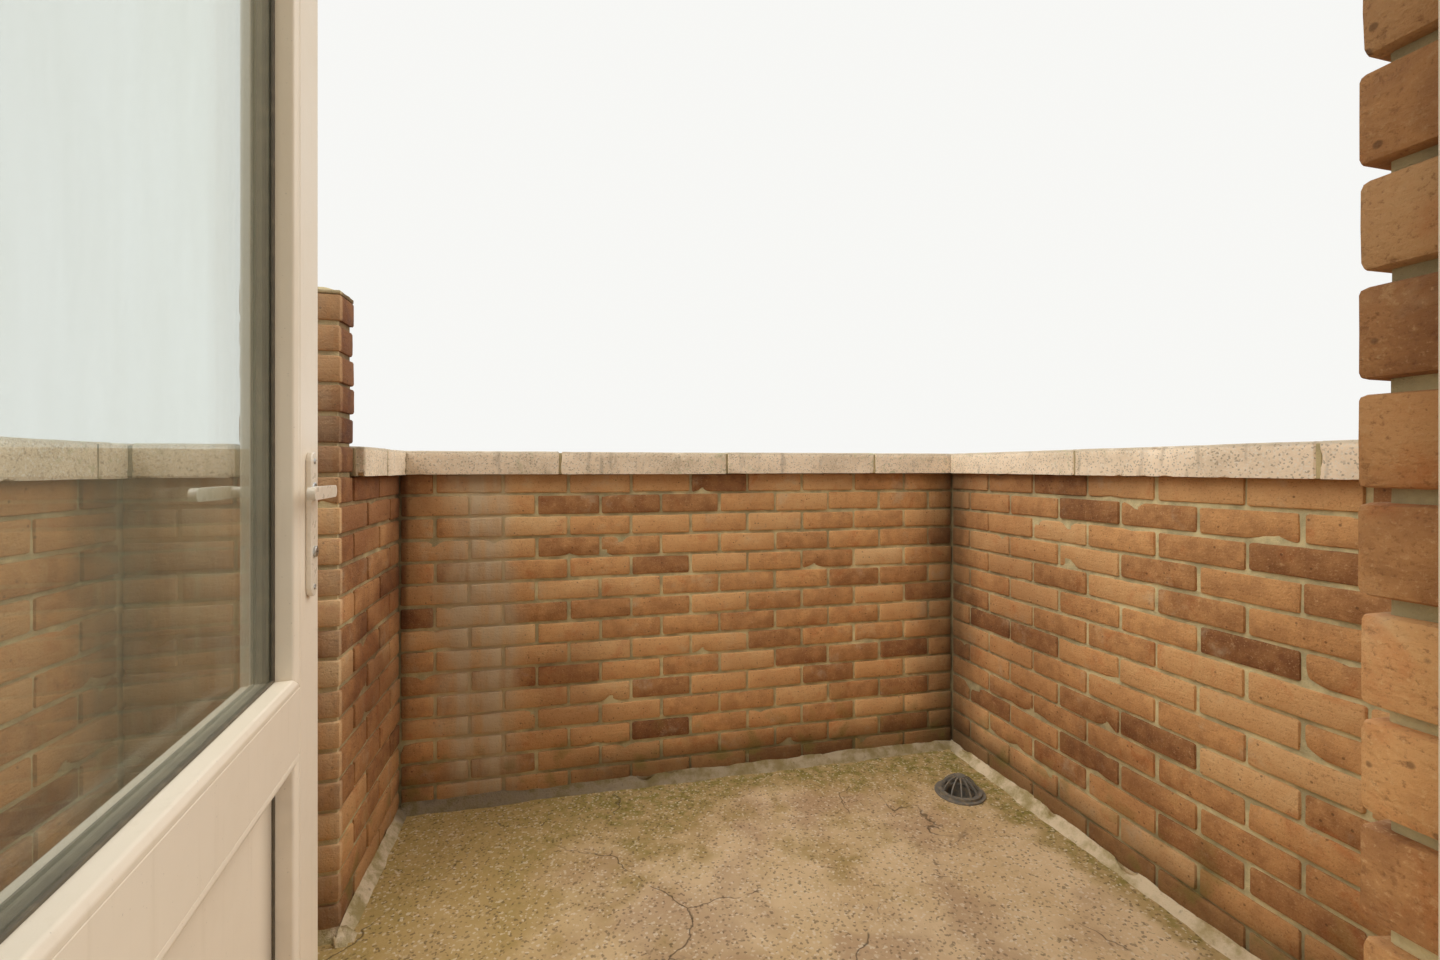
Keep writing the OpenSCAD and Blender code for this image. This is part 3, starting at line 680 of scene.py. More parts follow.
class TERRACE_OT_corner_stack(bpy.types.Operator):
    """Builds the corner stack, the small pier on it and the pier's mortar cap"""

    bl_idname = "terrace.corner_stack"
    bl_label = "Corner stack"

    def execute(self, context):
        s = context.scene.terrace_brickwork
        rng = np.random.default_rng(s.seed + 3)
        skin = s.brick_d + s.joint
        levels = (0.0, WALL_TOP)

        # The free corner interlocks: the front runs through on even courses, the side on odd ones
        def front(course):
            return (-INNER_X, STACK_X if course % 2 == 0 else STACK_X - skin)

        def side(course):
            return (STACK_Y + skin if course % 2 == 0 else STACK_Y, BACK_Y - s.joint)

        stack = Build()
        lay_skin(stack, 0, front, (STACK_Y, STACK_Y + s.brick_d), levels, s, rng)
        lay_skin(stack, 1, side, (STACK_X - s.brick_d, STACK_X), levels, s, rng, (0, 0))
        lay_mortar(stack, (-INNER_X, STACK_Y, 0), (STACK_X, BACK_Y, WALL_TOP),
                   (0, s.recess, TOP_GAP), (s.recess, 0, TOP_GAP))
        low, high = PIER_LOW, PIER_HIGH
        lay_skin(stack, 0, (low.x, high.x), (low.y, high.y), (WALL_TOP, low.z), s, rng)
        lay_mortar(stack, (low.x, low.y, WALL_TOP - LAP), (high.x, high.y, low.z),
                   (s.recess, s.recess, 0), (s.recess, s.recess, 0))
        finish_brickwork(stack, "corner_stack")
        self.cap()
        return {"FINISHED"}

    def cap(self):
        """A trowelled lump of mortar that sheds the rain to all four sides."""
        low, high = np.array(PIER_LOW), np.array(PIER_HIGH)
        points, out, faces = rounded_block(low - (0, 0, 0.001), high, MORTAR_EDGE, (0.010, 0.010, 0.010))
        size = high - low
        inset = np.minimum(points - low, high - points)[:, :2] / (size[:2] * (0.25, 0.33))
        rise = 0.45 + 0.55 * ease(inset.min(axis=1), 0.0, 1.0)
        points[:, 2] = low[2] + (points[:, 2] - low[2]) * rise
        points = points + out * (MORTAR_RELIEF * rough_noise(points, 0.030, 91))[:, None]
        points[:, 2] = np.minimum(points[:, 2], high[2])
        build = Build()
        build.add(points, faces)
        name = "pier_cap_mortar"
        put(build.mesh(name, ["lime_mortar"], smooth=1.0), name, "terrace", "mortar", "stack_cap")


class TERRACE_OT_house_wall(bpy.types.Operator):
    """Lays the house wall on both sides of the doorway and over it"""

    bl_idname = "terrace.house_wall"
    bl_label = "House wall"

    def execute(self, context):
        s = context.scene.terrace_brickwork
        rng = np.random.default_rng(s.seed + 1)
        # Over the lintel, every other course of the side walls is toothed half a brick further in
        half = (s.brick_l + s.joint) / 2

        def left_top(course):
            return (-OUTER_X, LINTEL_X0 + course % 2 * half)

        def right_top(course):
            return (LINTEL_X1 - course % 2 * half, OUTER_X)

        def over_top(course):
            return (left_top(course)[1] + s.joint, right_top(course)[0] - s.joint)

        sides = (
            ("house_wall_left", (-OUTER_X, OPENING_X0), (-OUTER_X, LINTEL_X0), left_top),
            ("house_wall_right", (OPENING_X1, OUTER_X), (LINTEL_X1, OUTER_X), right_top),
        )
        deep = s.recess + 0.004
        ends = ((deep, deep, TOP_GAP), (deep, deep, OPEN_TOP_GAP))
        for name, low_run, high_run, top_run in sides:
            wall = Build()
            self.lay(wall, s, rng, (low_run, (0.0, OPENING_TOP)), (high_run, (OPENING_TOP, LINTEL_TOP)),
                     (top_run, (LINTEL_TOP, HOUSE_TOP)))
            for (x0, x1), z0, z1 in ((low_run, 0, OPENING_TOP), (high_run, OPENING_TOP - LAP, HOUSE_TOP)):
                lay_mortar(wall, (x0, HOUSE_IN_Y - deep, z0), (x1, HOUSE_OUT_Y, z1), *ends)
            finish_brickwork(wall, name, "house_wall_over")
        over = Build()
        self.lay(over, s, rng, (over_top, (LINTEL_TOP, HOUSE_TOP)))
        lay_mortar(over, (LINTEL_X0, HOUSE_IN_Y - s.recess, LINTEL_TOP), (LINTEL_X1, HOUSE_OUT_Y, HOUSE_TOP),
                   (0, s.recess, TOP_GAP), (0, s.recess, OPEN_TOP_GAP))
        finish_brickwork(over, "house_wall_over")
        return {"FINISHED"}

    def lay(self, wall, s, rng, *parts):
        """Three half bricks of depth: the outer skin, the room's skin and the core between them."""
        outer = (HOUSE_OUT_Y - s.brick_d, HOUSE_OUT_Y)
        room = (HOUSE_IN_Y, HOUSE_IN_Y + s.brick_d)
        fill = HOUSE_OUT_Y - HOUSE_IN_Y - 2 * s.brick_d - 2 * s.joint
        core = (HOUSE_IN_Y + s.brick_d + s.joint, HOUSE_IN_Y + s.brick_d + s.joint + fill)
        for depth in (outer, room, core):
            for run, levels in parts:
                # The house wall's bricks take the darker tone of painted shade
                lay_skin(wall, 0, run, depth, levels, s, rng, tone_shift=s.house_shade_tone, inside=depth != outer)


class TERRACE_OT_step(bpy.types.Operator):
    """Lays the brick step under the sill"""

    bl_idname = "terrace.brick_step"
    bl_label = "Brick step"

    def execute(self, context):
        s = context.scene.terrace_brickwork
        rng = np.random.default_rng(s.seed + 2)
        low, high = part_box("door_step")
        skin = s.brick_d + s.joint
        run, levels = (low.x + s.joint, high.x - s.joint), (0.0, high.z - 0.012)
        step = Build()
        for y0, y1 in (
            (low.y, low.y + s.brick_d),
            (low.y + skin, low.y + skin + s.brick_d),
            (low.y + 2 * skin, high.y),
        ):
            lay_skin(step, 0, run, (y0, y1), levels, s, rng)
        lay_mortar(step, low, high, (0, s.recess, TOP_GAP), (0, s.recess, 0))
        finish_brickwork(step, "door_step")
        return {"FINISHED"}


# Copings, lintel and sill

UP = Vector((0, 0, 1))
# How far from its corners and its ends a stone is worn
WORN_REACH = 0.010
# Sizes of the lumps in a stone's faces, of the breaks along its edges and of its worn stretches
STONE_LUMP, BREAK_LUMP, WORN_LUMP = 0.05, 0.030, 0.12


def outline(corners, step):
    """Points round a closed outline, their outward directions and how near each is to a corner."""
    corners = [np.array(c, float) for c in corners]
    points, out, sharp = [], [], []
    for i, (a, b) in enumerate(zip(corners, corners[1:] + corners[:1])):
        edge = b - a
        size = np.linalg.norm(edge)
        ahead = np.array([edge[1], -edge[0]]) / size
        last = a - corners[i - 1]
        behind = np.array([last[1], -last[0]]) / np.linalg.norm(last)
        count = max(1, round(size / step))
        for k in range(count):
            share = k / count
            points.append(a + edge * share)
            out.append(ahead if k else (ahead + behind) / np.linalg.norm(ahead + behind))
            sharp.append(math.exp(-min(share, 1 - share) * size / WORN_REACH))
    return np.array(points), np.array(out), np.array(sharp)


def tube_faces(n, rows):
    """Faces of a tube of rings with n points each, closed at both ends."""
    faces = [
        (r * n + i, r * n + (i + 1) % n, (r + 1) * n + (i + 1) % n, (r + 1) * n + i)
        for r in range(rows - 1)
        for i in range(n)
    ]
    return [*faces, tuple(reversed(range(n))), tuple(range((rows - 1) * n, rows * n))]


def sweep(corners, origin, across, run, steps, bevel, size_at=None):
    """An outline (across, up) carried along a run: points, outward directions, sharpness, faces."""
    across = Vector(across)
    along = np.array(across.cross(UP))
    across, up = np.array(across), np.array(UP)
    flat, out, sharp = outline(corners, steps[0])
    count = max(2, round(run / steps[1]))
    stations = np.concatenate([[0], np.linspace(bevel, run - bevel, count), [run]])
    points, normals, nearness = [], [], []
    for i, t in enumerate(stations):
        end = (i == len(stations) - 1) - (i == 0)
        shape = flat - out * (bevel if end else 0)
        if size_at is not None:
            shape = shape * size_at[min(i, len(size_at) - 1)]
        points.append(np.array(origin) + along * t + shape[:, :1] * across + shape[:, 1:] * up)
        normals.append(out[:, :1] * across + out[:, 1:] * up + 0.7 * along * end)
        nearness.append(np.maximum(sharp, math.exp(-min(t, run - t) / WORN_REACH)))
    points, normals = np.concatenate(points), np.concatenate(normals)
    normals /= np.linalg.norm(normals, axis=1)[:, None]
    return points, normals, np.concatenate(nearness), tube_faces(len(flat), len(stations))


def weathered(points, out, sharp, seed, rough, chip):
    """Stone worn rough on its faces and broken along its edges."""
    points = points + out * (rough * rough_noise(points, STONE_LUMP, seed))[:, None]
    broken = ease(rough_noise(points, BREAK_LUMP, seed + 40, 2), 0.22, 0.60)
    worn = 0.25 + 0.75 * ease(rough_noise(points, WORN_LUMP, seed + 80, 2), -0.5, 0.5)
    return points - out * (sharp * chip * (0.22 * worn + broken))[:, None]


class StoneSettings(bpy.types.PropertyGroup):
    stone: colour("Cast stone", "Copings, lintel and sill", (1.0, 0.91, 0.78))
    shade: colour("Weathered stone", "Cast stone where it has darkened", (0.76, 0.67, 0.54))
    # The weathered top is partly weathering and partly painted shade that holds back the light on the
    # copings' upper faces
    top: colour("Weathered top", "Upper faces of the copings, where rain and soot lie", (0.68, 0.62, 0.52))
    grime: colour("Grime", "Dirt held in pores and under edges", (0.36, 0.31, 0.23))
    bright: colour("Bright grit", "Palest grains of the cast stone", (0.95, 0.92, 0.86))
    lichen: colour("Lichen", "Pale growth on the copings", (0.74, 0.72, 0.56))
    rough: length("Roughness", "Height of the lumps in a worn face", 0.0009)
    chip: length("Broken edges", "Depth of the chips along the edges", 0.006)
    chamfer: length("Chamfer", "Chamfer along the upper edges of a coping", 0.006)
    drip: length("Drip groove", "Width of the groove under each edge", 0.010)
    groove: length("Groove depth", "Depth of the groove under each edge", 0.008)
    joint: length("Stone joint", "Width of the joint between two stones", 0.006)
    overhang: length("Overhang", "How far a coping stands out past its wall", 0.025)


def stone_material(s):
    finish = Finish("cast_stone")
    cloud = finish.lumps(0.16, detail=5.0, roughness=0.6)
    grit = finish.grit(0.0035)
    streak = finish.lumps(0.03, detail=3.0, place=finish.stretched(0.22))
    base = finish.mix(finish.between(cloud, 0.32, 0.76, 0.0, 0.62), linear(s.stone), linear(s.shade))
    base = finish.over(base, finish.between(finish.attribute("tone"), 0.0, 1.0, 0.45, 0.0), s.shade)
    base = finish.layered(base, (grit, 0.80, 0.98, 0.45, s.grime), (grit, 0.22, 0.05, 0.45, s.bright))

    # Rain and soot darken the upper faces of the copings, and the darkening is also painted shade against the
    # stronger light on them; not on the lintel over the door
    upper = finish.between(finish.z, WALL_TOP + 0.068, WALL_TOP + 0.079, 0.0, 0.75)
    base = finish.over(base, finish.times(upper, finish.between(finish.z, 1.40, 1.38)), s.top)
    base = finish.layered(base, (streak, 0.56, 0.78, 0.38, s.grime))

    # Lichen and black spots share the same wide patches
    spots = finish.lumps(0.022, detail=4.0, roughness=0.65)
    where = finish.between(finish.lumps(0.30, detail=2.0), 0.46, 0.66)
    base = finish.over(base, finish.times(finish.between(spots, 0.56, 0.63, 0.0, 0.75), where), s.lichen)
    black = finish.between(finish.lumps(0.013, detail=3.0), 0.66, 0.72, 0.0, 0.6)
    base = finish.over(base, finish.times(black, where), s.grime)
    grain = finish.lumps(0.004, detail=3.0, roughness=0.7)
    normal = finish.bumps((grit, 0.0005), (grain, 0.0010), (finish.lumps(0.03, detail=3.0), 0.0016))
    return finish.done(base, finish.between(cloud, 0.2, 0.8, 0.82, 0.94), normal, Specular_IOR_Level=0.3)


class TERRACE_OT_copings(bpy.types.Operator):
    """Cuts the coping stones, beds them and fills their joints"""

    bl_idname = "terrace.copings"
    bl_label = "Copings"

    # How far a joint's mortar laps under the stones, and stays inside their faces, foot and top
    lap, inset, foot, drop = 0.002, 0.004, 0.001, 0.006

    def execute(self, context):
        s = context.scene.terrace_stone
        rng = np.random.default_rng(31)
        for side, across in (("back", (0, 1, 0)), ("left", (-1, 0, 0)), ("right", (-1, 0, 0))):
            self.row("coping_" + side, Vector(across), s, rng)
        self.stack(s, rng)
        return {"FINISHED"}

    def row(self, name, across, s, rng):
        low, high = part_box(name)
        along = across.cross(UP)
        axis = 0 if abs(along.x) > 0.5 else 1
        width, thick = (high - low)[1 - axis], high.z - low.z
        count = len(loose_parts(name))
        size = (high[axis] - low[axis] - (count - 1) * s.joint) / count
        section = self.section(width, thick, s, True)
        start = Vector((low.x if axis == 0 else high.x, low.y, low.z))
        build = Build()
        for i in range(count):
            self.stone(build, section, start + along * (i * (size + s.joint)), across, size, s, rng)
        for i in range(1, count + axis):
            spot = i * (size + s.joint) - s.joint
            corner = start + along * (spot - self.lap) + across * self.inset + UP * self.foot
            other = start + along * (spot + s.joint + self.lap) + across * (width - self.inset)
            self.pointing(build, corner, other + UP * (thick - self.drop), 5 + i)
        self.piece(build, name, low, high)

    def section(self, width, thick, s, both):
        """Outline across a stone, with a drip groove and a chamfer at its outer edge or at both."""
        inset = (s.overhang - s.drip) / 2
        c = s.chamfer
        corners = [(0, 0)]
        for u in (inset, width - inset - s.drip) if both else (inset,):
            corners += [(u, 0), (u, s.groove), (u + s.drip, s.groove), (u + s.drip, 0)]
        far = [(width, thick - c), (width - 0.35 * c, thick - 0.35 * c), (width - c, thick)]
        corners += [(width, 0)] + (far if both else [(width, thick)])
        return corners + [(c, thick), (0.35 * c, thick - 0.35 * c), (0, thick - c)]

    def stone(self, build, section, origin, across, run, s, rng):
        """One stone, bedded a hair up or down. Those nearer the right are less darkened."""
        points, out, sharp, faces = sweep(section, origin, across, run, (0.013, 0.015), 0.004)
        points = weathered(points, out, sharp, int(rng.integers(1, 999)), s.rough, s.chip)
        points[:, 2] += rng.uniform(-0.0012, 0.0004)
        tone = rng.uniform(0.2, 0.5) + 0.5 * ease(points[:, 0].mean(), -0.97, 1.13)
        build.add(points, faces, 0, float(tone))

    def pointing(self, build, corner, other, seed):
        """The mortar in a joint, between two opposite corners."""
        low, high = np.minimum(corner, other), np.maximum(corner, other)
        points, out, faces = rounded_block(low, high, 0.001, (0.012, 0.012, 0.012))
        points += out * (0.0008 * rough_noise(points, 0.02, seed, 2))[:, None]
        build.add(points, faces, 1)

    def piece(self, build, node, low, high):
        build.keep_within(low, high, 0.001)
        name = node + "_stones"
        put(build.mesh(name, ["cast_stone", "lime_mortar"]), name, "terrace", "coping", node)

    def stack(self, s, rng):
        """The stack's stones: a narrow one beside the pier, and two behind it."""
        low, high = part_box("coping_stack")
        z0, thick = low.z, high.z - low.z
        narrow_x1 = PIER_LOW.x - s.joint
        step_y = PIER_HIGH.y + s.joint
        size = (high.y - step_y - s.joint) / 2
        build = Build()
        front = self.section(step_y - s.joint - low.y, thick, s, False)
        self.stone(build, front, Vector((low.x, low.y, z0)), Vector((0, 1, 0)), narrow_x1 - low.x, s, rng)
        side = self.section(high.x - low.x, thick, s, False)
        for y in (step_y, step_y + size + s.joint):
            self.stone(build, side, Vector((high.x, y, z0)), Vector((-1, 0, 0)), size, s, rng)
        joints = (
            ((low.x, step_y - s.joint), (PIER_LOW.x, step_y)),
            ((PIER_LOW.x, step_y - s.joint), (STACK_X, step_y)),
            ((narrow_x1, PIER_LOW.y), (PIER_LOW.x, step_y)),
            ((low.x, step_y + size), (high.x - self.inset, step_y + size + s.joint)),
            ((low.x - s.joint, low.y + self.inset), (low.x, high.y + s.joint)),
            ((low.x, high.y), (high.x - self.inset, high.y + s.joint)),
        )
        for i, (a, b) in enumerate(joints):
            corner = (a[0] - self.lap, a[1] - self.lap, z0 + self.foot)
            other = (b[0] + self.lap, b[1] + self.lap, z0 + thick - self.drop)
            self.pointing(build, corner, other, 41 + i)
        self.piece(build, "coping_stack", low - Vector((s.joint, 0, 0)), high + Vector((0, s.joint, 0)))


class TERRACE_OT_lintel_and_sill(bpy.types.Operator):
    """Makes the concrete lintel and the worn stone sill"""

    bl_idname = "terrace.lintel_and_sill"
    bl_label = "Lintel and sill"

    def execute(self, context):
        s = context.scene.terrace_stone
        for node, edge, chip, seed in (("door_lintel", 0.004, 0.003, 17), ("stone_sill", 0.007, 0.004, 23)):
            low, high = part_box(node)
            points, out, faces = rounded_block(low, high, edge, (0.020, 0.016, 0.013))
            sharp = np.where(np.abs(out).max(axis=1) < 0.99, 1.0, 0.0)
            points = weathered(points, out, sharp, seed, s.rough, chip)
            if node == "stone_sill":
                self.tread(points, low, high)
            build = Build()
            build.add(points, faces, 0, 0.75)
            name = node + "_stone"
            put(build.mesh(name, ["cast_stone"]), name, "terrace", "coping", node)
        return {"FINISHED"}

    def tread(self, points, low, high):
        """Feet have worn the middle of the sill hollow."""
        worn = (points[:, 2] > high.z - 0.004) & (points[:, 1] > ROOM_Y + 0.02)
        middle = np.exp(-(((points[:, 0] - (low.x + high.x) / 2) / 0.27) ** 2))
        points[worn, 2] -= 0.0022 * middle[worn] * ease(points[worn, 1], -1.0, -0.93)


# Floor and fillets

class FloorSettings(bpy.types.PropertyGroup):
    screed: colour("Screed", "Worn mortar floor in the open", (0.80, 0.68, 0.50))
    stain: colour("Brown stain", "Broad stains in the screed", (0.62, 0.48, 0.36))
    olive: colour("Stained screed", "Screed under a film of algae", (0.68, 0.57, 0.36))
    moss: colour("Moss", "Moss in the shaded parts", (0.56, 0.50, 0.26))
    grit: colour("Grit", "Dark grit and soil", (0.30, 0.24, 0.16))
    pebble: colour("Pale grit", "Palest grains of the screed", (0.88, 0.82, 0.70))
    # The sandy wash is painted light over the open leaf's shadow on the left of the floor
    sand: colour("Sandy wash", "Fine sand that lies along the left side", (0.745, 0.625, 0.385))
    patch: colour("Mended patches", "Paler mortar where the floor was mended", (0.86, 0.75, 0.58))
    fillet: colour("Fillet", "Mortar fillets along the walls", (0.87, 0.79, 0.65))
    fleck: colour("Pale flecks", "Palest grains of the fillets", (0.86, 0.81, 0.69))
    relief: length("Relief", "Height of the lumps in the floor", 0.0035)
    grid: length("Grid", "Distance between the points of the floor", 0.0135)


def mossiness(points):
    """Where moss grows on the floor, from 0 to 1: most towards the back, the left and the walls."""
    x, y = points[:, 0], points[:, 1]
    stack = np.maximum(x - STACK_X, STACK_Y - y)
    wall = np.minimum.reduce([INNER_X - np.abs(x), BACK_Y - y, stack, np.full(len(x), 0.5)])
    lean = 0.24 * ease(y, -0.55, 0.85) + 0.09 * ease(-x, -0.43, 0.72) + 0.28 * (1 - ease(wall, 0.02, 0.22))
    big = 0.5 + 0.5 * rough_noise(points, 0.42, 301, 3)
    small = 0.5 + 0.5 * rough_noise(points, 0.06, 311, 3)
    return ease(0.62 * big + 0.34 * small + lean, 0.58, 1.0)


def floor_material(s):
    finish = Finish("worn_screed")
    moss = finish.attribute("moss")
    cloud = finish.lumps(0.35, detail=5.0, roughness=0.62)
    fine = finish.lumps(0.035, detail=5.0, roughness=0.65)
    grain = finish.lumps(0.0045, detail=3.0, roughness=0.7)
    stones = finish.grit(0.006)
    stain = finish.between(finish.lumps(0.22, detail=4.0, distortion=0.4), 0.42, 0.68, 0.0, 0.5)
    base = finish.mix(finish.between(cloud, 0.36, 0.66), linear(s.screed), linear(s.patch))
    base = finish.over(base, stain, s.stain)
    base = finish.layered(base, (moss, 0.05, 0.6, 0.85, s.olive))
    tufts = finish.times(finish.between(moss, 0.35, 0.9), finish.between(fine, 0.40, 0.60))
    base = finish.over(base, tufts, s.moss)
    base = finish.layered(
        base,
        (fine, 0.60, 0.78, 0.45, s.grit),
        # Painted light: an even yellowish wash over the left side of the floor, laid over the open leaf's
        # shadow
        (finish.x, -0.02, -0.60, 0.68, s.sand),
        (stones, 0.84, 0.97, 0.55, s.grit),
        (stones, 0.14, 0.03, 0.60, s.pebble),
    )
    crack = finish.cells(0.62, place=wandering(finish, 0.12, 0.10), feature="DISTANCE_TO_EDGE")
    line = finish.times(finish.between(crack, 0.0, 0.005, 1.0, 0.0), finish.between(stain, 0.08, 0.34))
    base = finish.over(base, finish.times(line, 0.75), s.grit)
    sunk = finish.times(line, -1.0)
    normal = finish.bumps((sunk, 0.0015), (stones, 0.0008), (grain, 0.0016), (fine, 0.0035))
    return finish.done(base, finish.between(fine, 0.2, 0.8, 0.82, 0.97), normal, Specular_IOR_Level=0.25)


def wandering(finish, size, push):
    """Places shifted by noise, so that lines drawn from them wander."""
    drift = finish.node("ShaderNodeTexNoise", {"Vector": finish.place, "Scale": 1 / size, "Detail": 3.0})
    inputs = {0: drift.outputs["Color"], "Scale": push}
    moved = finish.node("ShaderNodeVectorMath", inputs, operation="SCALE").outputs[0]
    return finish.node("ShaderNodeVectorMath", {0: finish.place, 1: moved}, operation="ADD").outputs[0]


def fillet_material(s):
    finish = Finish("fillet_mortar")
    moss = finish.attribute("moss")
    cloud = finish.lumps(0.08, detail=5.0, roughness=0.65)
    fine = finish.lumps(0.018, detail=4.0, roughness=0.7)
    base = finish.mix(finish.between(cloud, 0.44, 0.72, 0.0, 0.75), linear(s.fillet), linear(s.olive))
    base = finish.layered(base, (fine, 0.58, 0.76, 0.5, s.grit), (fine, 0.42, 0.26, 0.6, s.fleck))
    grown = finish.times(finish.between(moss, 0.2, 0.85, 0.0, 0.85), finish.between(cloud, 0.38, 0.62))
    base = finish.over(base, grown, s.moss)
    # The fillet along the back wall is darker, most towards the left
    back_fillet_darkening = finish.times(
        finish.between(finish.y, BACK_Y - 0.10, BACK_Y - 0.05),
        finish.between(finish.x, -0.20, 0.60, 0.80, 0.45),
        finish.between(cloud, 0.25, 0.60, 1.0, 0.7),
    )
    base = finish.over(base, back_fillet_darkening, s.grit)
    normal = finish.bumps((finish.lumps(0.0045, detail=3.0, roughness=0.7), 0.0022), (fine, 0.0045))
    return finish.done(base, 0.94, normal, Specular_IOR_Level=0.25)


class TERRACE_OT_floor(bpy.types.Operator):
    """Spreads the worn screed round the outlet, with its moss"""

    bl_idname = "terrace.floor"
    bl_label = "Floor"

    # How far from the outlet's middle the grid gives way, and the radius of the hole
    reach, hole = 0.16, 0.077
    # The floor stays level under the flange and has its full relief beyond it
    level_to, full_from = 0.085, 0.14

    def execute(self, context):
        s = context.scene.terrace_floor
        low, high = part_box("floor_screed")
        pipe_low, pipe_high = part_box("outlet_body")
        centre = np.array((pipe_low + pipe_high) / 2)
        half = s.grid / 2
        lines = []
        for a, corner in enumerate((STACK_X, STACK_Y)):
            stops = (low[a], corner, centre[a] - half, centre[a] + half, high[a])
            parts = [np.linspace(p, q, max(2, round((q - p) / s.grid) + 1)) for p, q in zip(stops, stops[1:])]
            lines.append(np.unique(np.round(np.concatenate(parts), 6)))
        lines.append(np.array([low.z, high.z]))
        places, faces = block_skin(*(len(line) for line in lines))
        points = np.stack([lines[a][places[:, a]] for a in range(3)], axis=1)

        # The grid opens into a hole round the pipe, hidden under the outlet's flange
        reach, hole = self.reach, self.hole
        away = points[:, :2] - centre[:2]
        far = np.linalg.norm(away, axis=1)
        near = far < reach
        moved = hole + (reach - hole) * (far[near] / reach)
        points[near, :2] = centre[:2] + away[near] / far[near][:, None] * moved[:, None]
        faces = self.with_walls(places, faces, points, centre)

        moss = mossiness(points)
        upper = points[:, 2] > low.z + 0.01
        relief = 0.55 * rough_noise(points, 0.30, 401, 2) + 0.45 * rough_noise(points, 0.045, 411, 3)
        clumps = moss * (0.5 + 0.5 * rough_noise(points, 0.028, 421, 2))
        lift = s.relief * (0.55 * relief + 0.75 * clumps - 0.35)
        lift *= ease(np.linalg.norm(points[:, :2] - centre[:2], axis=1), self.level_to, self.full_from)
        points[upper, 2] += lift[upper]
        used = np.unique(np.concatenate(faces))
        place_of = {int(v): i for i, v in enumerate(used)}
        build = Build()
        build.add(points[used], [[place_of[v] for v in face] for face in faces])
        put_mortar(build, "floor_surface", "worn_screed", "screed", "floor_screed", moss[used])
        return {"FINISHED"}

    def with_walls(self, places, faces, points, centre):
        """The upper and lower skin outside the stack and the hole, joined along all their edges."""
        level = places[:, 2]
        middle = points[faces].mean(axis=1)
        in_hole = np.linalg.norm(middle[:, :2] - centre[:2], axis=1) < self.hole / 2
        in_stack = (middle[:, 0] < STACK_X) & (middle[:, 1] > STACK_Y)
        flat = level[faces].min(axis=1) == level[faces].max(axis=1)
        kept = faces[flat & ~in_hole & ~in_stack].tolist()
        column = {tuple(place): v for v, place in enumerate(places.tolist())}
        under = {v: column[i, j, 0] for (i, j, k), v in column.items() if k == 1}
        upper = [face for face in kept if level[face[0]] == 1]
        sides = {(a, b) for face in upper for a, b in zip(face, face[1:] + face[:1])}
        walls = [(b, a, under[a], under[b]) for a, b in sorted(sides) if (b, a) not in sides]
        return [tuple(face) for face in kept] + walls


class TERRACE_OT_fillets(bpy.types.Operator):
    """Trowels the broken mortar fillets along the feet of the walls"""

    bl_idname = "terrace.fillets"
    bl_label = "Fillets"

    def execute(self, context):
        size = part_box("fillet_left")[1].z - FLOOR_TOP
        deep = BACK_Y - HOUSE_OUT_Y
        # Each strip has its start, the way that it stands out from its wall, and its length
        runs = (
            ("fillet_back", ((INNER_X, BACK_Y), (0, -1, 0), INNER_X - STACK_X)),
            ("fillet_left", ((-INNER_X, STACK_Y), (1, 0, 0), STACK_Y - HOUSE_OUT_Y)),
            ("fillet_right", ((INNER_X, HOUSE_OUT_Y), (-1, 0, 0), deep)),
            ("fillet_house", ((-INNER_X, HOUSE_OUT_Y), (0, 1, 0), OPENING_X0 + INNER_X),
             ((OPENING_X1, HOUSE_OUT_Y), (0, 1, 0), INNER_X - OPENING_X1)),
            ("fillet_stack", ((STACK_X + size, STACK_Y), (0, -1, 0), STACK_X + size + INNER_X),
             ((STACK_X, BACK_Y), (1, 0, 0), BACK_Y - STACK_Y + size)),
        )
        for seed, (node, *strips) in enumerate(runs, start=1):
            build = Build()
            for strip in strips:
                self.strip(build, *strip, size, seed)
            if node == "fillet_stack":
                for points in build.points:
                    self.mitre(points, size)
            low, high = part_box(node)
            build.keep_within(np.array(low) - (0, 0, 0.003), np.array(high) + 0.001, 0.001)
            moss = 0.62 * mossiness(np.concatenate(build.points))
            put_mortar(build, node + "_strip", "fillet_mortar", "mortar", node, moss)
        return {"FINISHED"}

    def strip(self, build, start, across, run, size, seed):
        """A hollow fillet of uneven size, lumpy and broken away in places."""
        count = max(2, round(run / 0.012)) + 2
        spots = np.stack([np.linspace(0, run, count), np.full(count, seed), np.zeros(count)], axis=1)
        swell = np.clip(0.84 + 0.30 * rough_noise(spots, 0.16, seed * 7, 3), 0.45, 1.0)
        corners = [(0, 0), (size, 0), (0.66 * size, 0.24 * size), (0.24 * size, 0.66 * size), (0, size)]
        points, out, _, faces = sweep(corners, (*start, FLOOR_TOP - 0.003), across, run,
                                      (0.0065, 0.012), 0.001, swell)
        lumps = 0.0034 * rough_noise(points, 0.034, seed * 13, 3)
        gaps = 0.010 * ease(rough_noise(points, 0.09, seed * 17, 3), 0.30, 0.62)
        build.add(points + out * (lumps - gaps)[:, None], faces)

    def mitre(self, points, size):
        """Slopes both strips down past the stack's free corner, so that they meet in a mitre."""
        past = np.maximum(points[:, 0] - STACK_X, STACK_Y - points[:, 1])
        corner = (points[:, 0] > STACK_X) & (points[:, 1] < STACK_Y)
        roof = FLOOR_TOP + np.maximum(size - past, 0)
        points[corner, 2] = np.minimum(points[corner, 2], roof[corner])


# Pieces that keep the fixed model's shape, with eased edges

WELD = 1e-6


def welded(node):
    """A fixed node's mesh, with its doubled points merged."""
    shape = bmesh.new()
    shape.from_mesh(frame["nodes"][node].data)
    bmesh.ops.remove_doubles(shape, verts=shape.verts, dist=WELD)
    shape.verts.ensure_lookup_table()
    return shape


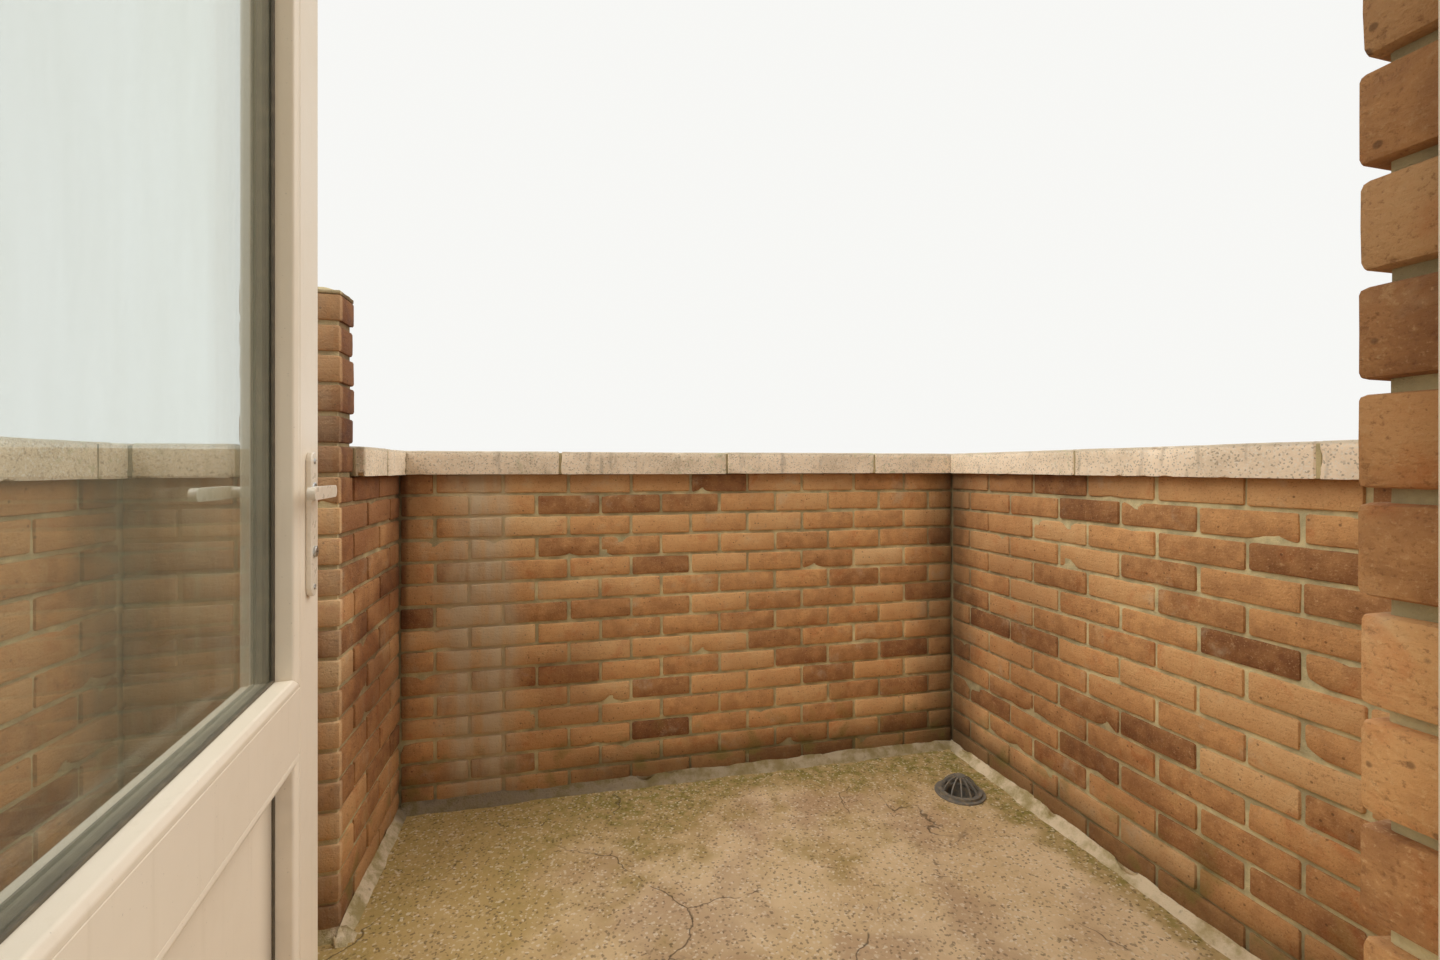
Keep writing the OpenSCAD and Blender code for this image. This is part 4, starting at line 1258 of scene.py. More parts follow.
def loose_parts(node):
    """The separate solids of a fixed node, as sets of vertex numbers of its merged mesh."""
    shape = welded(node)
    left, parts = set(range(len(shape.verts))), []
    while left:
        todo, part = [left.pop()], set()
        while todo:
            v = todo.pop()
            part.add(v)
            for edge in shape.verts[v].link_edges:
                other = edge.other_vert(shape.verts[v]).index
                if other in left:
                    left.discard(other)
                    todo.append(other)
        parts.append(part)
    shape.free()
    return parts


def weigh_normals(piece):
    """Keeps flat faces flat beside rounded edges."""
    piece.modifiers.new("weighted_normals", "WEIGHTED_NORMAL").keep_sharp = True


def eased_copy(node, bevel, material, name, body, slot, segments=2):
    """A copy of a fixed node with its edges eased, which stands for the node."""
    shape = welded(node)
    bmesh.ops.dissolve_limit(shape, angle_limit=math.radians(1), verts=shape.verts, edges=shape.edges)
    sharp = [e for e in shape.edges if e.is_manifold and e.calc_face_angle(0) > math.radians(32)]
    bmesh.ops.bevel(shape, geom=sharp, offset=bevel, segments=segments, profile=0.6,
                    affect="EDGES", clamp_overlap=True)
    mesh = bpy.data.meshes.new(name)
    shape.to_mesh(mesh)
    shape.free()
    mesh.materials.clear()
    mesh.materials.append(bpy.data.materials[material])
    mesh.polygons.foreach_set("material_index", [0] * len(mesh.polygons))
    mesh.polygons.foreach_set("use_smooth", [True] * len(mesh.polygons))
    mesh.set_sharp_from_angle(angle=math.radians(50))
    weigh_normals(put(mesh, name, body, slot, node))


# Joinery: extruded members with rounded corners, mitred and welded

LEAF_PLACE = Matrix.Translation(HINGE_AXIS) @ Matrix.Rotation(OPEN_ANGLE, 4, "Z")
# Points round each rounded corner, less one
ARC = 4
# Ways in which a member's profile can run inward
UPWARD, DOWNWARD, RIGHTWARD, LEFTWARD = (0, 0, 1), (0, 0, -1), (1, 0, 0), (-1, 0, 0)
BACK = (0, 1, 0)


def leaf_points(node):
    """A leaf node's points, seen shut from its hinge axis and its foot."""
    shut = LEAF_PLACE.inverted()
    return np.array([shut @ v.co for v in frame["nodes"][node].data.vertices])


def leaf_box(node):
    spots = leaf_points(node)
    return Vector(spots.min(axis=0)), Vector(spots.max(axis=0))


def rounded_outline(*corners):
    """A closed outline, counter-clockwise, whose (u, v, radius) corners are rounded."""
    points = []
    for i, (u, v, r) in enumerate(corners):
        here = Vector((u, v))
        before = (Vector(corners[i - 1][:2]) - here).normalized()
        after = (Vector(corners[(i + 1) % len(corners)][:2]) - here).normalized()
        if r <= 0:
            points.append(here)
            continue
        a, b = here + before * r, here + after * r
        for k in range(ARC + 1):
            t = k / ARC
            points.append(a * (1 - t) ** 2 + here * 2 * t * (1 - t) + b * t ** 2)
    return np.array(points)


def member(build, profile, start, end, inward, mitres=(True, True), seam=0.0005, look=0):
    """One extrusion: its profile runs inward and back from the edge between two corners."""
    start, end, inward, depth = (Vector(v) for v in (start, end, inward, BACK))
    ahead = (end - start).normalized()
    size = (end - start).length
    edge = np.roll(profile, -1, axis=0) - profile
    edge /= np.linalg.norm(edge, axis=1)[:, None] + 1e-12
    turn = edge + np.roll(edge, 1, axis=0)
    out = np.stack([turn[:, 1], -turn[:, 0]], axis=1)
    out /= np.linalg.norm(out, axis=1)[:, None] + 1e-12
    rings = []
    for t, inset in ((0, seam), (seam, 0), (size - seam, 0), (size, seam)):
        flat = profile - out * inset
        near, far = t < size / 2, t >= size / 2
        cut = flat[:, 0] * (1 if near and mitres[0] else -1 if far and mitres[1] else 0)
        at = np.outer(t + cut, ahead) + np.outer(flat[:, 0], inward) + np.outer(flat[:, 1], depth)
        rings.append(at + np.array(start))
    faces = tube_faces(len(profile), len(rings))
    if inward.cross(depth).dot(ahead) < 0:
        faces = [tuple(reversed(face)) for face in faces]
    build.add(np.concatenate(rings), faces, look)


def ring(build, profile, low, high, y, look=0, seam=0.0004):
    """Four mitred members inside a box, seen from the room, from that depth backwards."""
    a, b = (low.x, y, low.z), (high.x, y, low.z)
    c, d = (high.x, y, high.z), (low.x, y, high.z)
    for start, end, inward in ((a, b, UPWARD), (b, c, LEFTWARD), (c, d, DOWNWARD), (d, a, RIGHTWARD)):
        member(build, profile, start, end, inward, seam=seam, look=look)


def turned(build, profile, centre, axis, sides=24):
    """A turned piece: (radius, height) pairs about an axis, closed where the radius is nought."""
    axis = Vector(axis).normalized()
    side = axis.orthogonal().normalized()
    other = axis.cross(side)
    points, faces, rows = [], [], []
    for r, h in profile:
        rows.append(len(points))
        for k in range(sides if r > 0 else 1):
            a = 2 * math.pi * k / sides
            points.append(Vector(centre) + axis * h + (side * math.cos(a) + other * math.sin(a)) * r)
    for (r0, _), (r1, _), a, b in zip(profile, profile[1:], rows, rows[1:]):
        for k in range(sides):
            j = (k + 1) % sides
            if r0 > 0 and r1 > 0:
                faces.append((a + k, a + j, b + j, b + k))
            elif r0 > 0:
                faces.append((a + k, a + j, b))
            elif r1 > 0:
                faces.append((a, b + j, b + k))
    build.add(points, faces)


def joinery(build, name, slot, materials, *nodes, body="terrace"):
    """Makes a piece of the door or of its frame."""
    weigh_normals(put(build.mesh(name, materials, smooth=math.radians(40)), name, body, slot, *nodes))


def leaf_joinery(build, *facts):
    """Makes a piece of the leaf, which was built shut, in the place where the leaf stands open."""
    build.points = [np.array([LEAF_PLACE @ Vector(p) for p in points]) for points in build.points]
    joinery(build, *facts, body="door_leaf")


class DoorSettings(bpy.types.PropertyGroup):
    cream: colour("Cream", "Frame, leaf and panel", (0.922, 0.862, 0.768))
    # The aged cream colour also paints the shade towards the top of the door
    aged_and_shade: colour("Aged cream", "Cream where it has yellowed and caught dirt", (0.76, 0.68, 0.55))
    # The dirt colour also paints the shade along the panel's beads
    dirt: colour("Dirt", "Specks on the cream, and dirt along the panel's beads", (0.45, 0.38, 0.28))
    rubber: colour("Rubber", "Gaskets and the spacer between the panes", (0.35, 0.31, 0.24))
    rubber_dust: colour("Dusty rubber", "Rubber under dust", (0.50, 0.44, 0.34))
    steel: colour("Steel", "Hinges, lock and screws", (0.72, 0.71, 0.69))
    steel_film: colour("Dull steel", "Steel under a film of dirt", (0.55, 0.50, 0.42))
    handle: colour("Handles", "Powder coat of the plates and levers", (0.88, 0.82, 0.73))
    handle_dirt: colour("Handle specks", "Specks in the powder coat", (0.42, 0.36, 0.27))
    tint: colour("Glass", "What is seen through the glass is tinted by this", (0.980, 0.985, 0.985))
    mirror: colour("Reflections", "Tint of what the glass reflects", (0.95, 0.97, 0.93))
    # The dust film also stands in for a reflected veil: painted reflection
    dust: amount("Dust", "Share of each face of the glass that a film of dust covers", 0.038)
    dust_and_reflection_veil: colour("Dust on the glass", "Colour of that film", (0.80, 0.80, 0.68))
    outlet: colour("Outlet", "Rainwater outlet and its grate", (0.42, 0.40, 0.36))
    outlet_dust: colour("Dusty outlet", "Outlet under dust", (0.56, 0.50, 0.40))
    arris: length("Rounded edge", "Radius of the members' outer edges", 0.0025)
    pane: length("Pane", "Thickness of one pane of the glass unit", 0.004)
    gasket: length("Gasket", "Width of rubber that shows beside a bead", 0.003)


def cream_material(s):
    finish = Finish("cream_joinery")
    cloud = finish.lumps(0.24, detail=4.0, roughness=0.6)
    runs = finish.lumps(0.014, detail=4.0, place=finish.stretched(0.06))
    level = finish.plus(finish.z, finish.times(cloud, -0.25))
    base = finish.mix(finish.between(cloud, 0.42, 0.75, 0.0, 0.18), linear(s.cream), linear(s.aged_and_shade))
    base = finish.over(base, finish.between(level, 0.10, 0.42, 0.12, 0.0), s.aged_and_shade)
    base = finish.layered(
        base,
        # Painted shade: the cream darkens towards the top of the door
        (level, 0.95, 1.75, 0.50, s.aged_and_shade),
        (runs, 0.56, 0.80, 0.15, s.aged_and_shade),
        (finish.lumps(0.0035), 0.70, 0.80, 0.35, s.dirt),
    )
    # Painted shade along the panel's beads, in the dirt colour
    base = finish.over(base, panel_bead_shade(finish, cloud), s.dirt)
    normal = finish.bumps((finish.lumps(0.0016), 0.00006), (finish.lumps(0.09), 0.0010))
    return finish.done(base, finish.between(cloud, 0.25, 0.75, 0.30, 0.46), normal, Specular_IOR_Level=0.5)


def panel_bead_shade(finish, cloud):
    """Painted shade on the leaf's panel, in a band along its beads."""
    low, high = leaf_box("panel_beads")
    way_x, way_y = LEAF_PLACE.col[0][:2]
    start = LEAF_PLACE.translation
    along = finish.plus(finish.times(finish.x, way_x), finish.times(finish.y, way_y))
    along = finish.minus(along, start.x * way_x + start.y * way_y)
    sides = []
    for value, a, b in ((along, low.x, high.x), (finish.z, low.z + start.z, high.z + start.z)):
        sides.append(finish.minus((b - a) / 2, finish.off(value, (a + b) / 2)))
    edge = finish.plus(finish.least(*sides), finish.times(cloud, 0.012))
    return finish.times(finish.between(edge, 0.020, 0.026), finish.between(edge, 0.024, 0.079, 0.42, 0.0))


def rubber_material(s):
    finish = Finish("gasket_rubber")
    dust = finish.lumps(0.02, detail=3.0)
    base = finish.mix(finish.between(dust, 0.45, 0.75, 0.0, 0.5), linear(s.rubber), linear(s.rubber_dust))
    return finish.done(base, 0.65, finish.bumps((dust, 0.0003)))


def steel_material(s):
    finish = Finish("satin_steel")
    brushed = finish.lumps(0.0012, detail=3.0, place=finish.stretched(0.05))
    film = finish.between(finish.lumps(0.03, detail=4.0), 0.5, 0.8, 0.0, 0.35)
    base = finish.mix(film, linear(s.steel), linear(s.steel_film))
    roughness = finish.between(brushed, 0.3, 0.7, 0.26, 0.40)
    return finish.done(base, roughness, finish.bumps((brushed, 0.00008)), Metallic=1.0)


def handle_material(s):
    """Powder coat, rubbed smooth where hands hold it."""
    finish = Finish("handle_powder_coat")
    film = finish.lumps(0.018, detail=4.0, roughness=0.6)
    base = finish.mix(finish.between(film, 0.46, 0.78, 0.0, 0.40), linear(s.handle), linear(s.aged_and_shade))
    base = finish.layered(base, (finish.lumps(0.0022), 0.68, 0.78, 0.4, s.handle_dirt))
    normal = finish.bumps((finish.lumps(0.0011), 0.00005))
    return finish.done(base, finish.between(film, 0.3, 0.7, 0.24, 0.42), normal, Coat_Weight=0.25)


def glass_material(s):
    """Thin clear panes that let light through, reflect more at a slant and carry a diffuse film that is
    partly dust and partly a painted veil of reflection.
    """
    finish = Finish("clear_glass")
    finish.done(linear(s.mirror), 0.01, Metallic=1.0)
    through = finish.node("ShaderNodeBsdfTransparent", {"Color": linear(s.tint)})
    facing = finish.node("ShaderNodeLayerWeight", {"Blend": 0.5}).outputs["Facing"]
    slant = finish.plus(finish.times(finish.math("POWER", facing, 5.0), 0.55), 0.04)
    streaks = finish.lumps(0.05, detail=4.0, roughness=0.6, place=finish.stretched(0.15))
    # The diffuse film is partly dust and partly a painted reflection
    film = finish.between(streaks, 0.30, 0.75, s.dust * 0.6, s.dust * 1.6)
    dust = finish.node("ShaderNodeBsdfDiffuse", {"Color": linear(s.dust_and_reflection_veil)})
    finish.show(finish.both(film, finish.both(slant, through, finish.shader), dust), "Material Output")


def outlet_material(s):
    finish = Finish("outlet_plastic")
    dust = finish.lumps(0.018, detail=4.0, roughness=0.65)
    base = finish.mix(finish.between(dust, 0.42, 0.70), linear(s.outlet), linear(s.outlet_dust))
    normal = finish.bumps((finish.lumps(0.003, detail=3.0), 0.0003))
    return finish.done(base, finish.between(dust, 0.3, 0.7, 0.45, 0.75), normal)


class TERRACE_OT_door_frame(bpy.types.Operator):
    """Fits the mitred door frame, its seals and its share of the hinges"""

    bl_idname = "terrace.door_frame"
    bl_label = "Door frame"

    def execute(self, context):
        s = context.scene.terrace_door
        jamb_low, jamb_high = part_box("frame_hinge_jamb")
        face = jamb_low.x + (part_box("frame_head")[1].z - jamb_high.z) - OPENING_X0
        lap = jamb_high.x - OPENING_X0
        deep = jamb_high.y - jamb_low.y
        stop = self.stop_depth(jamb_low)
        y, foot, top = jamb_low.y, jamb_low.z, OPENING_TOP
        profile = rounded_outline(
            (0, 0, 0.001), (lap, 0, s.arris), (lap, stop, 0.0015), (face, stop, 0.0008),
            (face, deep, s.arris), (0, deep, 0.001),
        )
        u0, u1, v0, v1 = face + 0.0025, face + 0.0095, stop - 0.001, stop + 0.0035
        lip = rounded_outline((u0, v0, 0), (u1, v0, 0), (u1, v1, 0.002), (u0, v1, 0.002))
        seal = Build()
        for name, x0, x1, inward, node in (
            ("frame_jamb_hinge_side", OPENING_X0, OPENING_X0, RIGHTWARD, "frame_hinge_jamb"),
            ("frame_jamb_lock_side", OPENING_X1, OPENING_X1, LEFTWARD, "frame_lock_jamb"),
            ("frame_head_member", OPENING_X0, OPENING_X1, DOWNWARD, "frame_head"),
        ):
            upright = x0 == x1
            mitres = (not upright, True)
            build = Build()
            member(build, profile, (x0, y, foot if upright else top), (x1, y, top), inward, mitres)
            joinery(build, name, "door_cream", ["cream_joinery"], node)
            start = (x0, y, foot + 0.001 if upright else top)
            member(seal, lip, start, (x1, y, top), inward, mitres, seam=0.0002)
        eased_copy("frame_sill", 0.002, "cream_joinery", "frame_sill_member", "terrace", "door_cream")
        z0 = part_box("frame_sill")[1].z - 0.0085
        seal.box((OPENING_X0 + lap, y + v0, z0), (OPENING_X1 - lap, y + v1, z0 + 0.006), 0.002)
        joinery(seal, "frame_seal", "outlet", ["gasket_rubber"])
        eased_copy("frame_hinges", 0.0008, "satin_steel", "hinge_knuckles_frame", "terrace", "metal")
        return {"FINISHED"}

    def stop_depth(self, jamb_low):
        """Depth of the stop behind the leaf, read from the jamb's own vertices."""
        levels = sorted({round(v.co.y, 4) for v in frame["nodes"]["frame_hinge_jamb"].data.vertices})
        return levels[1] - jamb_low.y


class TERRACE_OT_door_leaf(bpy.types.Operator):
    """Builds the leaf: welded sash, beads, gaskets, glass unit, panel and weather bar"""

    bl_idname = "terrace.door_leaf"
    bl_label = "Door leaf"

    # The middle rail stands this far back from the stiles' faces
    hair = 0.0004
    # The panes stand this far inside the glass unit's faces
    pane_gap = 0.0001

    def execute(self, context):
        s = context.scene.terrace_door
        stile_low, stile_high = leaf_box("leaf_hinge_stile")
        glass_low, glass_high = leaf_box("leaf_glass")
        deep = stile_high.y - stile_low.y
        bead_x = leaf_box("glazing_beads")[0].x
        rebate = stile_high.x - bead_x
        step = deep - (stile_high.y - glass_high.y)
        self.sash(s, stile_low, stile_high, rebate, step, deep)
        self.middle_rail(stile_low, stile_high, rebate, step, deep)
        # A bead's width is read from the second of the places across it where its node has points
        places = sorted({round(float(x), 4) for x in leaf_points("glazing_beads")[:, 0]})
        bead_w = places[1] - bead_x
        self.beads(s, "beads_of_glass", "glazing_beads", bead_w, rebate, step)
        self.beads(s, "beads_of_panel", "panel_beads", bead_w, rebate, step)
        self.glass_unit(s, glass_low, glass_high)
        build = Build()
        build.box(*leaf_box("leaf_panel"), 0.0015)
        leaf_joinery(build, "lower_panel", "door_cream", ["cream_joinery"], "leaf_panel")
        eased_copy("weather_bar", 0.0018, "cream_joinery", "weather_bar_strip", "door_leaf", "door_cream")
        return {"FINISHED"}

    def sash(self, s, low, high, rebate, step, deep):
        """The four outer members, mitred and welded. Low and high are of the hinge stile."""
        wide = high.x - low.x
        profile = rounded_outline(
            (0, 0, s.arris), (wide - rebate, 0, 0.0012), (wide - rebate, step, 0.0006),
            (wide, step, 0.0015), (wide, deep, 0.003), (0, deep, s.arris),
        )
        left, right = low.x, leaf_box("leaf_lock_stile")[1].x
        a, b = (left, low.y, 0), (right, low.y, 0)
        c, d = (right, low.y, high.z), (left, low.y, high.z)
        for part, start, end, inward in (
            ("bottom_rail", a, b, UPWARD), ("lock_stile", b, c, LEFTWARD),
            ("top_rail", c, d, DOWNWARD), ("hinge_stile", d, a, RIGHTWARD),
        ):
            build = Build()
            member(build, profile, start, end, inward)
            leaf_joinery(build, "sash_" + part, "door_cream", ["cream_joinery"], "leaf_" + part)

    def middle_rail(self, low, high, rebate, step, deep):
        """The rail between glass and panel, which reaches into the stiles' rebates."""
        rail_low, rail_high = leaf_box("leaf_middle_rail")
        tall, hair = rail_high.z - rail_low.z, self.hair
        profile = rounded_outline(
            (rebate, hair, 0.0012), (tall - rebate, hair, 0.0012), (tall - rebate, step, 0.0006),
            (tall, step, 0.0015), (tall, deep - hair, 0.003), (0, deep - hair, 0.003),
            (0, step, 0.0015), (rebate, step, 0.0006),
        )
        wide = high.x - low.x
        start = (low.x + wide - rebate, low.y, rail_low.z)
        end = (leaf_box("leaf_lock_stile")[1].x - wide + rebate, low.y, rail_low.z)
        build = Build()
        member(build, profile, start, end, UPWARD, (False, False))
        leaf_joinery(build, "sash_middle_rail", "door_cream", ["cream_joinery"], "leaf_middle_rail")

    def beads(self, s, name, node, wide, rebate, step):
        """A sloping bead all round, with rubber along its inner edge and behind it."""
        low, high = leaf_box(node)
        deep = high.y - low.y
        slope = rounded_outline(
            (0.0002, 0.0006, 0.0008), (0.0075, 0.0, 0.002), (wide, 0.0045, 0.003),
            (wide, deep - 0.0005, 0.0008), (0.0002, deep - 0.0005, 0),
        )
        inner = rounded_outline(
            (wide - 0.003, deep - 0.004, 0), (wide + s.gasket, deep - 0.0030, 0.0012),
            (wide + s.gasket, deep + 0.0002, 0), (wide - 0.003, deep + 0.0002, 0),
        )
        outer = rounded_outline(
            (rebate - 0.004, step - 0.0002, 0), (rebate + 0.0025, step - 0.0002, 0),
            (rebate + 0.0025, step + 0.0025, 0.001), (rebate - 0.004, step + 0.003, 0),
        )
        build = Build()
        ring(build, slope, low, high, low.y)
        for rubber in (inner, outer):
            ring(build, rubber, low, high, low.y, look=1, seam=0.0001)
        leaf_joinery(build, name, "door_cream", ["cream_joinery", "gasket_rubber"], node)

    def glass_unit(self, s, low, high):
        """Two panes and the spacer between them."""
        panes = Build()
        for y in (low.y + self.pane_gap, high.y - s.pane - self.pane_gap):
            panes.box((low.x, y, low.z), (high.x, y + s.pane, high.z), 0.0004)
        leaf_joinery(panes, "glass_panes", "glass", ["clear_glass"], "leaf_glass")
        gap = high.y - low.y - 2 * s.pane - 2 * self.pane_gap
        bar = rounded_outline((0.0005, 0, 0), (0.0125, 0, 0.001), (0.0125, gap, 0.001), (0.0005, gap, 0))
        spacer = Build()
        ring(spacer, bar, low, high, low.y + s.pane + self.pane_gap, seam=0.0002)
        leaf_joinery(spacer, "glass_spacer", "outlet", ["gasket_rubber"])


class TERRACE_OT_fittings(bpy.types.Operator):
    """Fits the hinges, handle plates, levers, lock and screws of the leaf"""

    bl_idname = "terrace.fittings"
    bl_label = "Door fittings"

    # How far the screws are from a plate's ends, and the key's cylinder from the lever's axis
    screw_inset, cylinder_drop = 0.014, 0.092
    # Turned shapes, as (radius, height) pairs
    screw = ((0.0046, -0.0004), (0.0042, 0.0011), (0.0018, 0.0018), (0.0014, 0.0012), (0, 0.0012))
    rose = (
        (0.0138, -0.0005), (0.0138, 0.0006), (0.0130, 0.0014),
        (0.0112, 0.0016), (0.0108, 0.0002), (0, 0.0002),
    )
    cylinder = ((0.0085, -0.0005), (0.0085, 0.0030), (0.0079, 0.0036), (0, 0.0036))
    lock_screw = ((0.0036, 0.0), (0.0034, 0.0011), (0.0012, 0.0016), (0, 0.0010))

    def execute(self, context):
        for node, bevel, name, material, slot in (
            ("leaf_hinges", 0.0008, "hinge_knuckles_leaf", "satin_steel", "metal"),
            ("handle_plates", 0.0022, "handle_backplates", "handle_powder_coat", "handle_coat"),
            ("handle_levers", 0.0024, "handle_lever_pair", "handle_powder_coat", "handle_coat"),
        ):
            eased_copy(node, bevel, material, name, "door_leaf", slot, segments=3)
        plate_low, plate_high = leaf_box("handle_plates")
        lever_low, lever_high = leaf_box("handle_levers")
        x = (plate_low.x + plate_high.x) / 2
        level = (lever_low.z + lever_high.z) / 2
        build = Build()
        for side, face in ((1, plate_high.y), (-1, plate_low.y)):
            away = (0, side, 0)
            for z in (plate_high.z - self.screw_inset, plate_low.z + self.screw_inset):
                turned(build, self.screw, (x, face, z), away, sides=20)
            turned(build, self.rose, (x, face, level), away, sides=32)
            z = level - self.cylinder_drop
            turned(build, self.cylinder, (x, face, z), away, sides=28)
            y = face + side * 0.0037
            y0, y1 = sorted((y, y - side * 0.0006))
            build.box((x - 0.0045, y0, z - 0.0008), (x + 0.0045, y1, z + 0.0008), 0.0002, look=1)
        self.lock(build, level)
        leaf_joinery(build, "lock_and_screws", "metal", ["satin_steel", "gasket_rubber"])
        return {"FINISHED"}

    def lock(self, build, level):
        """The lock's long plate in the leaf's edge, its latch and its screws."""
        low, high = leaf_box("leaf_lock_stile")
        edge, y = high.x, (low.y + high.y) / 2
        for x0, x1, half, z0, z1, arris in (
            (-0.0012, 0.0012, 0.010, -0.36, 0.30, 0.0006),
            (0.0002, 0.0040, 0.007, -0.020, 0.012, 0.0018),
        ):
            build.box((edge + x0, y - half, level + z0), (edge + x1, y + half, level + z1), arris)
        for z in (-0.34, -0.12, 0.10, 0.28):
            turned(build, self.lock_screw, (edge + 0.0011, y, level + z), (1, 0, 0), sides=16)


class TERRACE_OT_outlet(bpy.types.Operator):
    """Sets the rainwater outlet and its domed grate in the floor"""

    bl_idname = "terrace.outlet"
    bl_label = "Rainwater outlet"

    def execute(self, context):
        for node, bevel, name in (
            ("outlet_body", 0.0015, "outlet_flange_and_pipe"),
            ("outlet_grate", 0.0009, "outlet_domed_grate"),
        ):
            eased_copy(node, bevel, "outlet_plastic", name, "terrace", "outlet")
        return {"FINISHED"}


# Plaster and concrete

class PlasterSettings(bpy.types.PropertyGroup):
    paint: colour("Paint", "Painted plaster of the room side", (0.88, 0.85, 0.79))
    faded: colour("Faded paint", "Broad patches where the paint has faded", (0.865, 0.835, 0.775))
    scuff: colour("Scuffs", "Marks low on the plaster", (0.55, 0.49, 0.40))
    concrete: colour("Concrete", "Slab under the floor", (0.60, 0.58, 0.54))
    dull: colour("Dull concrete", "Darker clouds in the slab", (0.50, 0.48, 0.44))
    pit: colour("Pits", "Small holes in the slab's faces", (0.33, 0.31, 0.28))


def plaster_material(s):
    finish = Finish("painted_plaster")
    cloud = finish.lumps(0.7, detail=3.0)
    scuffs = finish.lumps(0.06, detail=4.0, place=finish.stretched(0.4))
    base = finish.mix(finish.between(cloud, 0.30, 0.75), linear(s.paint), linear(s.faded))
    low = finish.between(finish.z, 0.0, 0.45, 0.5, 0.02)
    base = finish.over(base, finish.times(low, finish.between(scuffs, 0.55, 0.75)), s.scuff)
    sand, waves = finish.lumps(0.0028, detail=3.0), finish.lumps(0.16, detail=3.0)
    normal = finish.bumps((sand, 0.00035), (waves, 0.0012))
    return finish.done(base, 0.72, normal)


def concrete_material(s):
    finish = Finish("cast_concrete")
    cloud = finish.lumps(0.25, detail=5.0)
    pits = finish.lumps(0.008, detail=3.0)
    base = finish.mix(finish.between(cloud, 0.3, 0.7), linear(s.concrete), linear(s.dull))
    base = finish.layered(base, (pits, 0.62, 0.72, 0.6, s.pit))
    return finish.done(base, 0.9, finish.bumps((pits, 0.002)))


class TERRACE_OT_finishes(bpy.types.Operator):
    """Makes the materials of all the pieces"""

    bl_idname = "terrace.finishes"
    bl_label = "Finishes"

    def execute(self, context):
        scene = context.scene
        for settings, *makers in (
            (scene.terrace_brickwork, brick_material, mortar_material),
            (scene.terrace_stone, stone_material),
            (scene.terrace_floor, floor_material, fillet_material),
            (scene.terrace_door, cream_material, rubber_material, steel_material, handle_material,
             glass_material, outlet_material),
            (scene.terrace_plaster, plaster_material, concrete_material),
        ):
            for make in makers:
                make(settings)
        return {"FINISHED"}


class TERRACE_OT_plaster(bpy.types.Operator):
    """Plasters the room side and the reveals, and pours the slab"""

    bl_idname = "terrace.plaster"
    bl_label = "Plaster and slab"

    def execute(self, context):
        for node in ("plaster_left", "plaster_right", "plaster_over"):
            eased_copy(node, 0.0006, "painted_plaster", node + "_skin", "terrace", "plaster")
        eased_copy("floor_slab", 0.003, "cast_concrete", "floor_slab_cast", "terrace", "concrete")
        return {"FINISHED"}


# Ground, light and camera

class StageSettings(bpy.types.PropertyGroup):
    eye: FloatVectorProperty(
        name="Eye", description="Where the camera stands", size=3, unit="LENGTH",
        subtype="TRANSLATION", default=(-0.267, -1.239, 1.30),
    )
    turn: FloatProperty(
        name="Turn", description="Camera's turn to the right of straight out of the door",
        default=math.radians(13.7), subtype="ANGLE",
    )
    lens: FloatProperty(
        name="Lens", description="Focal length for a 36 mm wide picture", default=15.375,
        unit="CAMERA",
    )
    shift_y: FloatProperty(name="Shift", description="Upward shift of the picture", default=-0.009)
    sky: FloatProperty(name="Sky", description="Strength of the even light", default=0.85)
    key: FloatProperty(name="Key", description="Strength of the soft main light", default=2.05)
    fill: FloatProperty(name="Fill", description="Strength of the light from the other side", default=1.6)
    room: amount("Room", "How much of the even light from the room's side is missing", 0.75)
    level: FloatProperty(
        name="Level", description="Share of that loss near the horizon; less than 0 adds light",
        default=-1.3,
    )
    daylight: colour("Daylight", "Colour of the even light", (0.97, 0.98, 1.0))
    backdrop: colour("Backdrop", "Background behind the terrace", (0.97, 0.97, 0.96))
    paper: colour("Ground", "Pale ground under the terrace", (0.775, 0.77, 0.755))


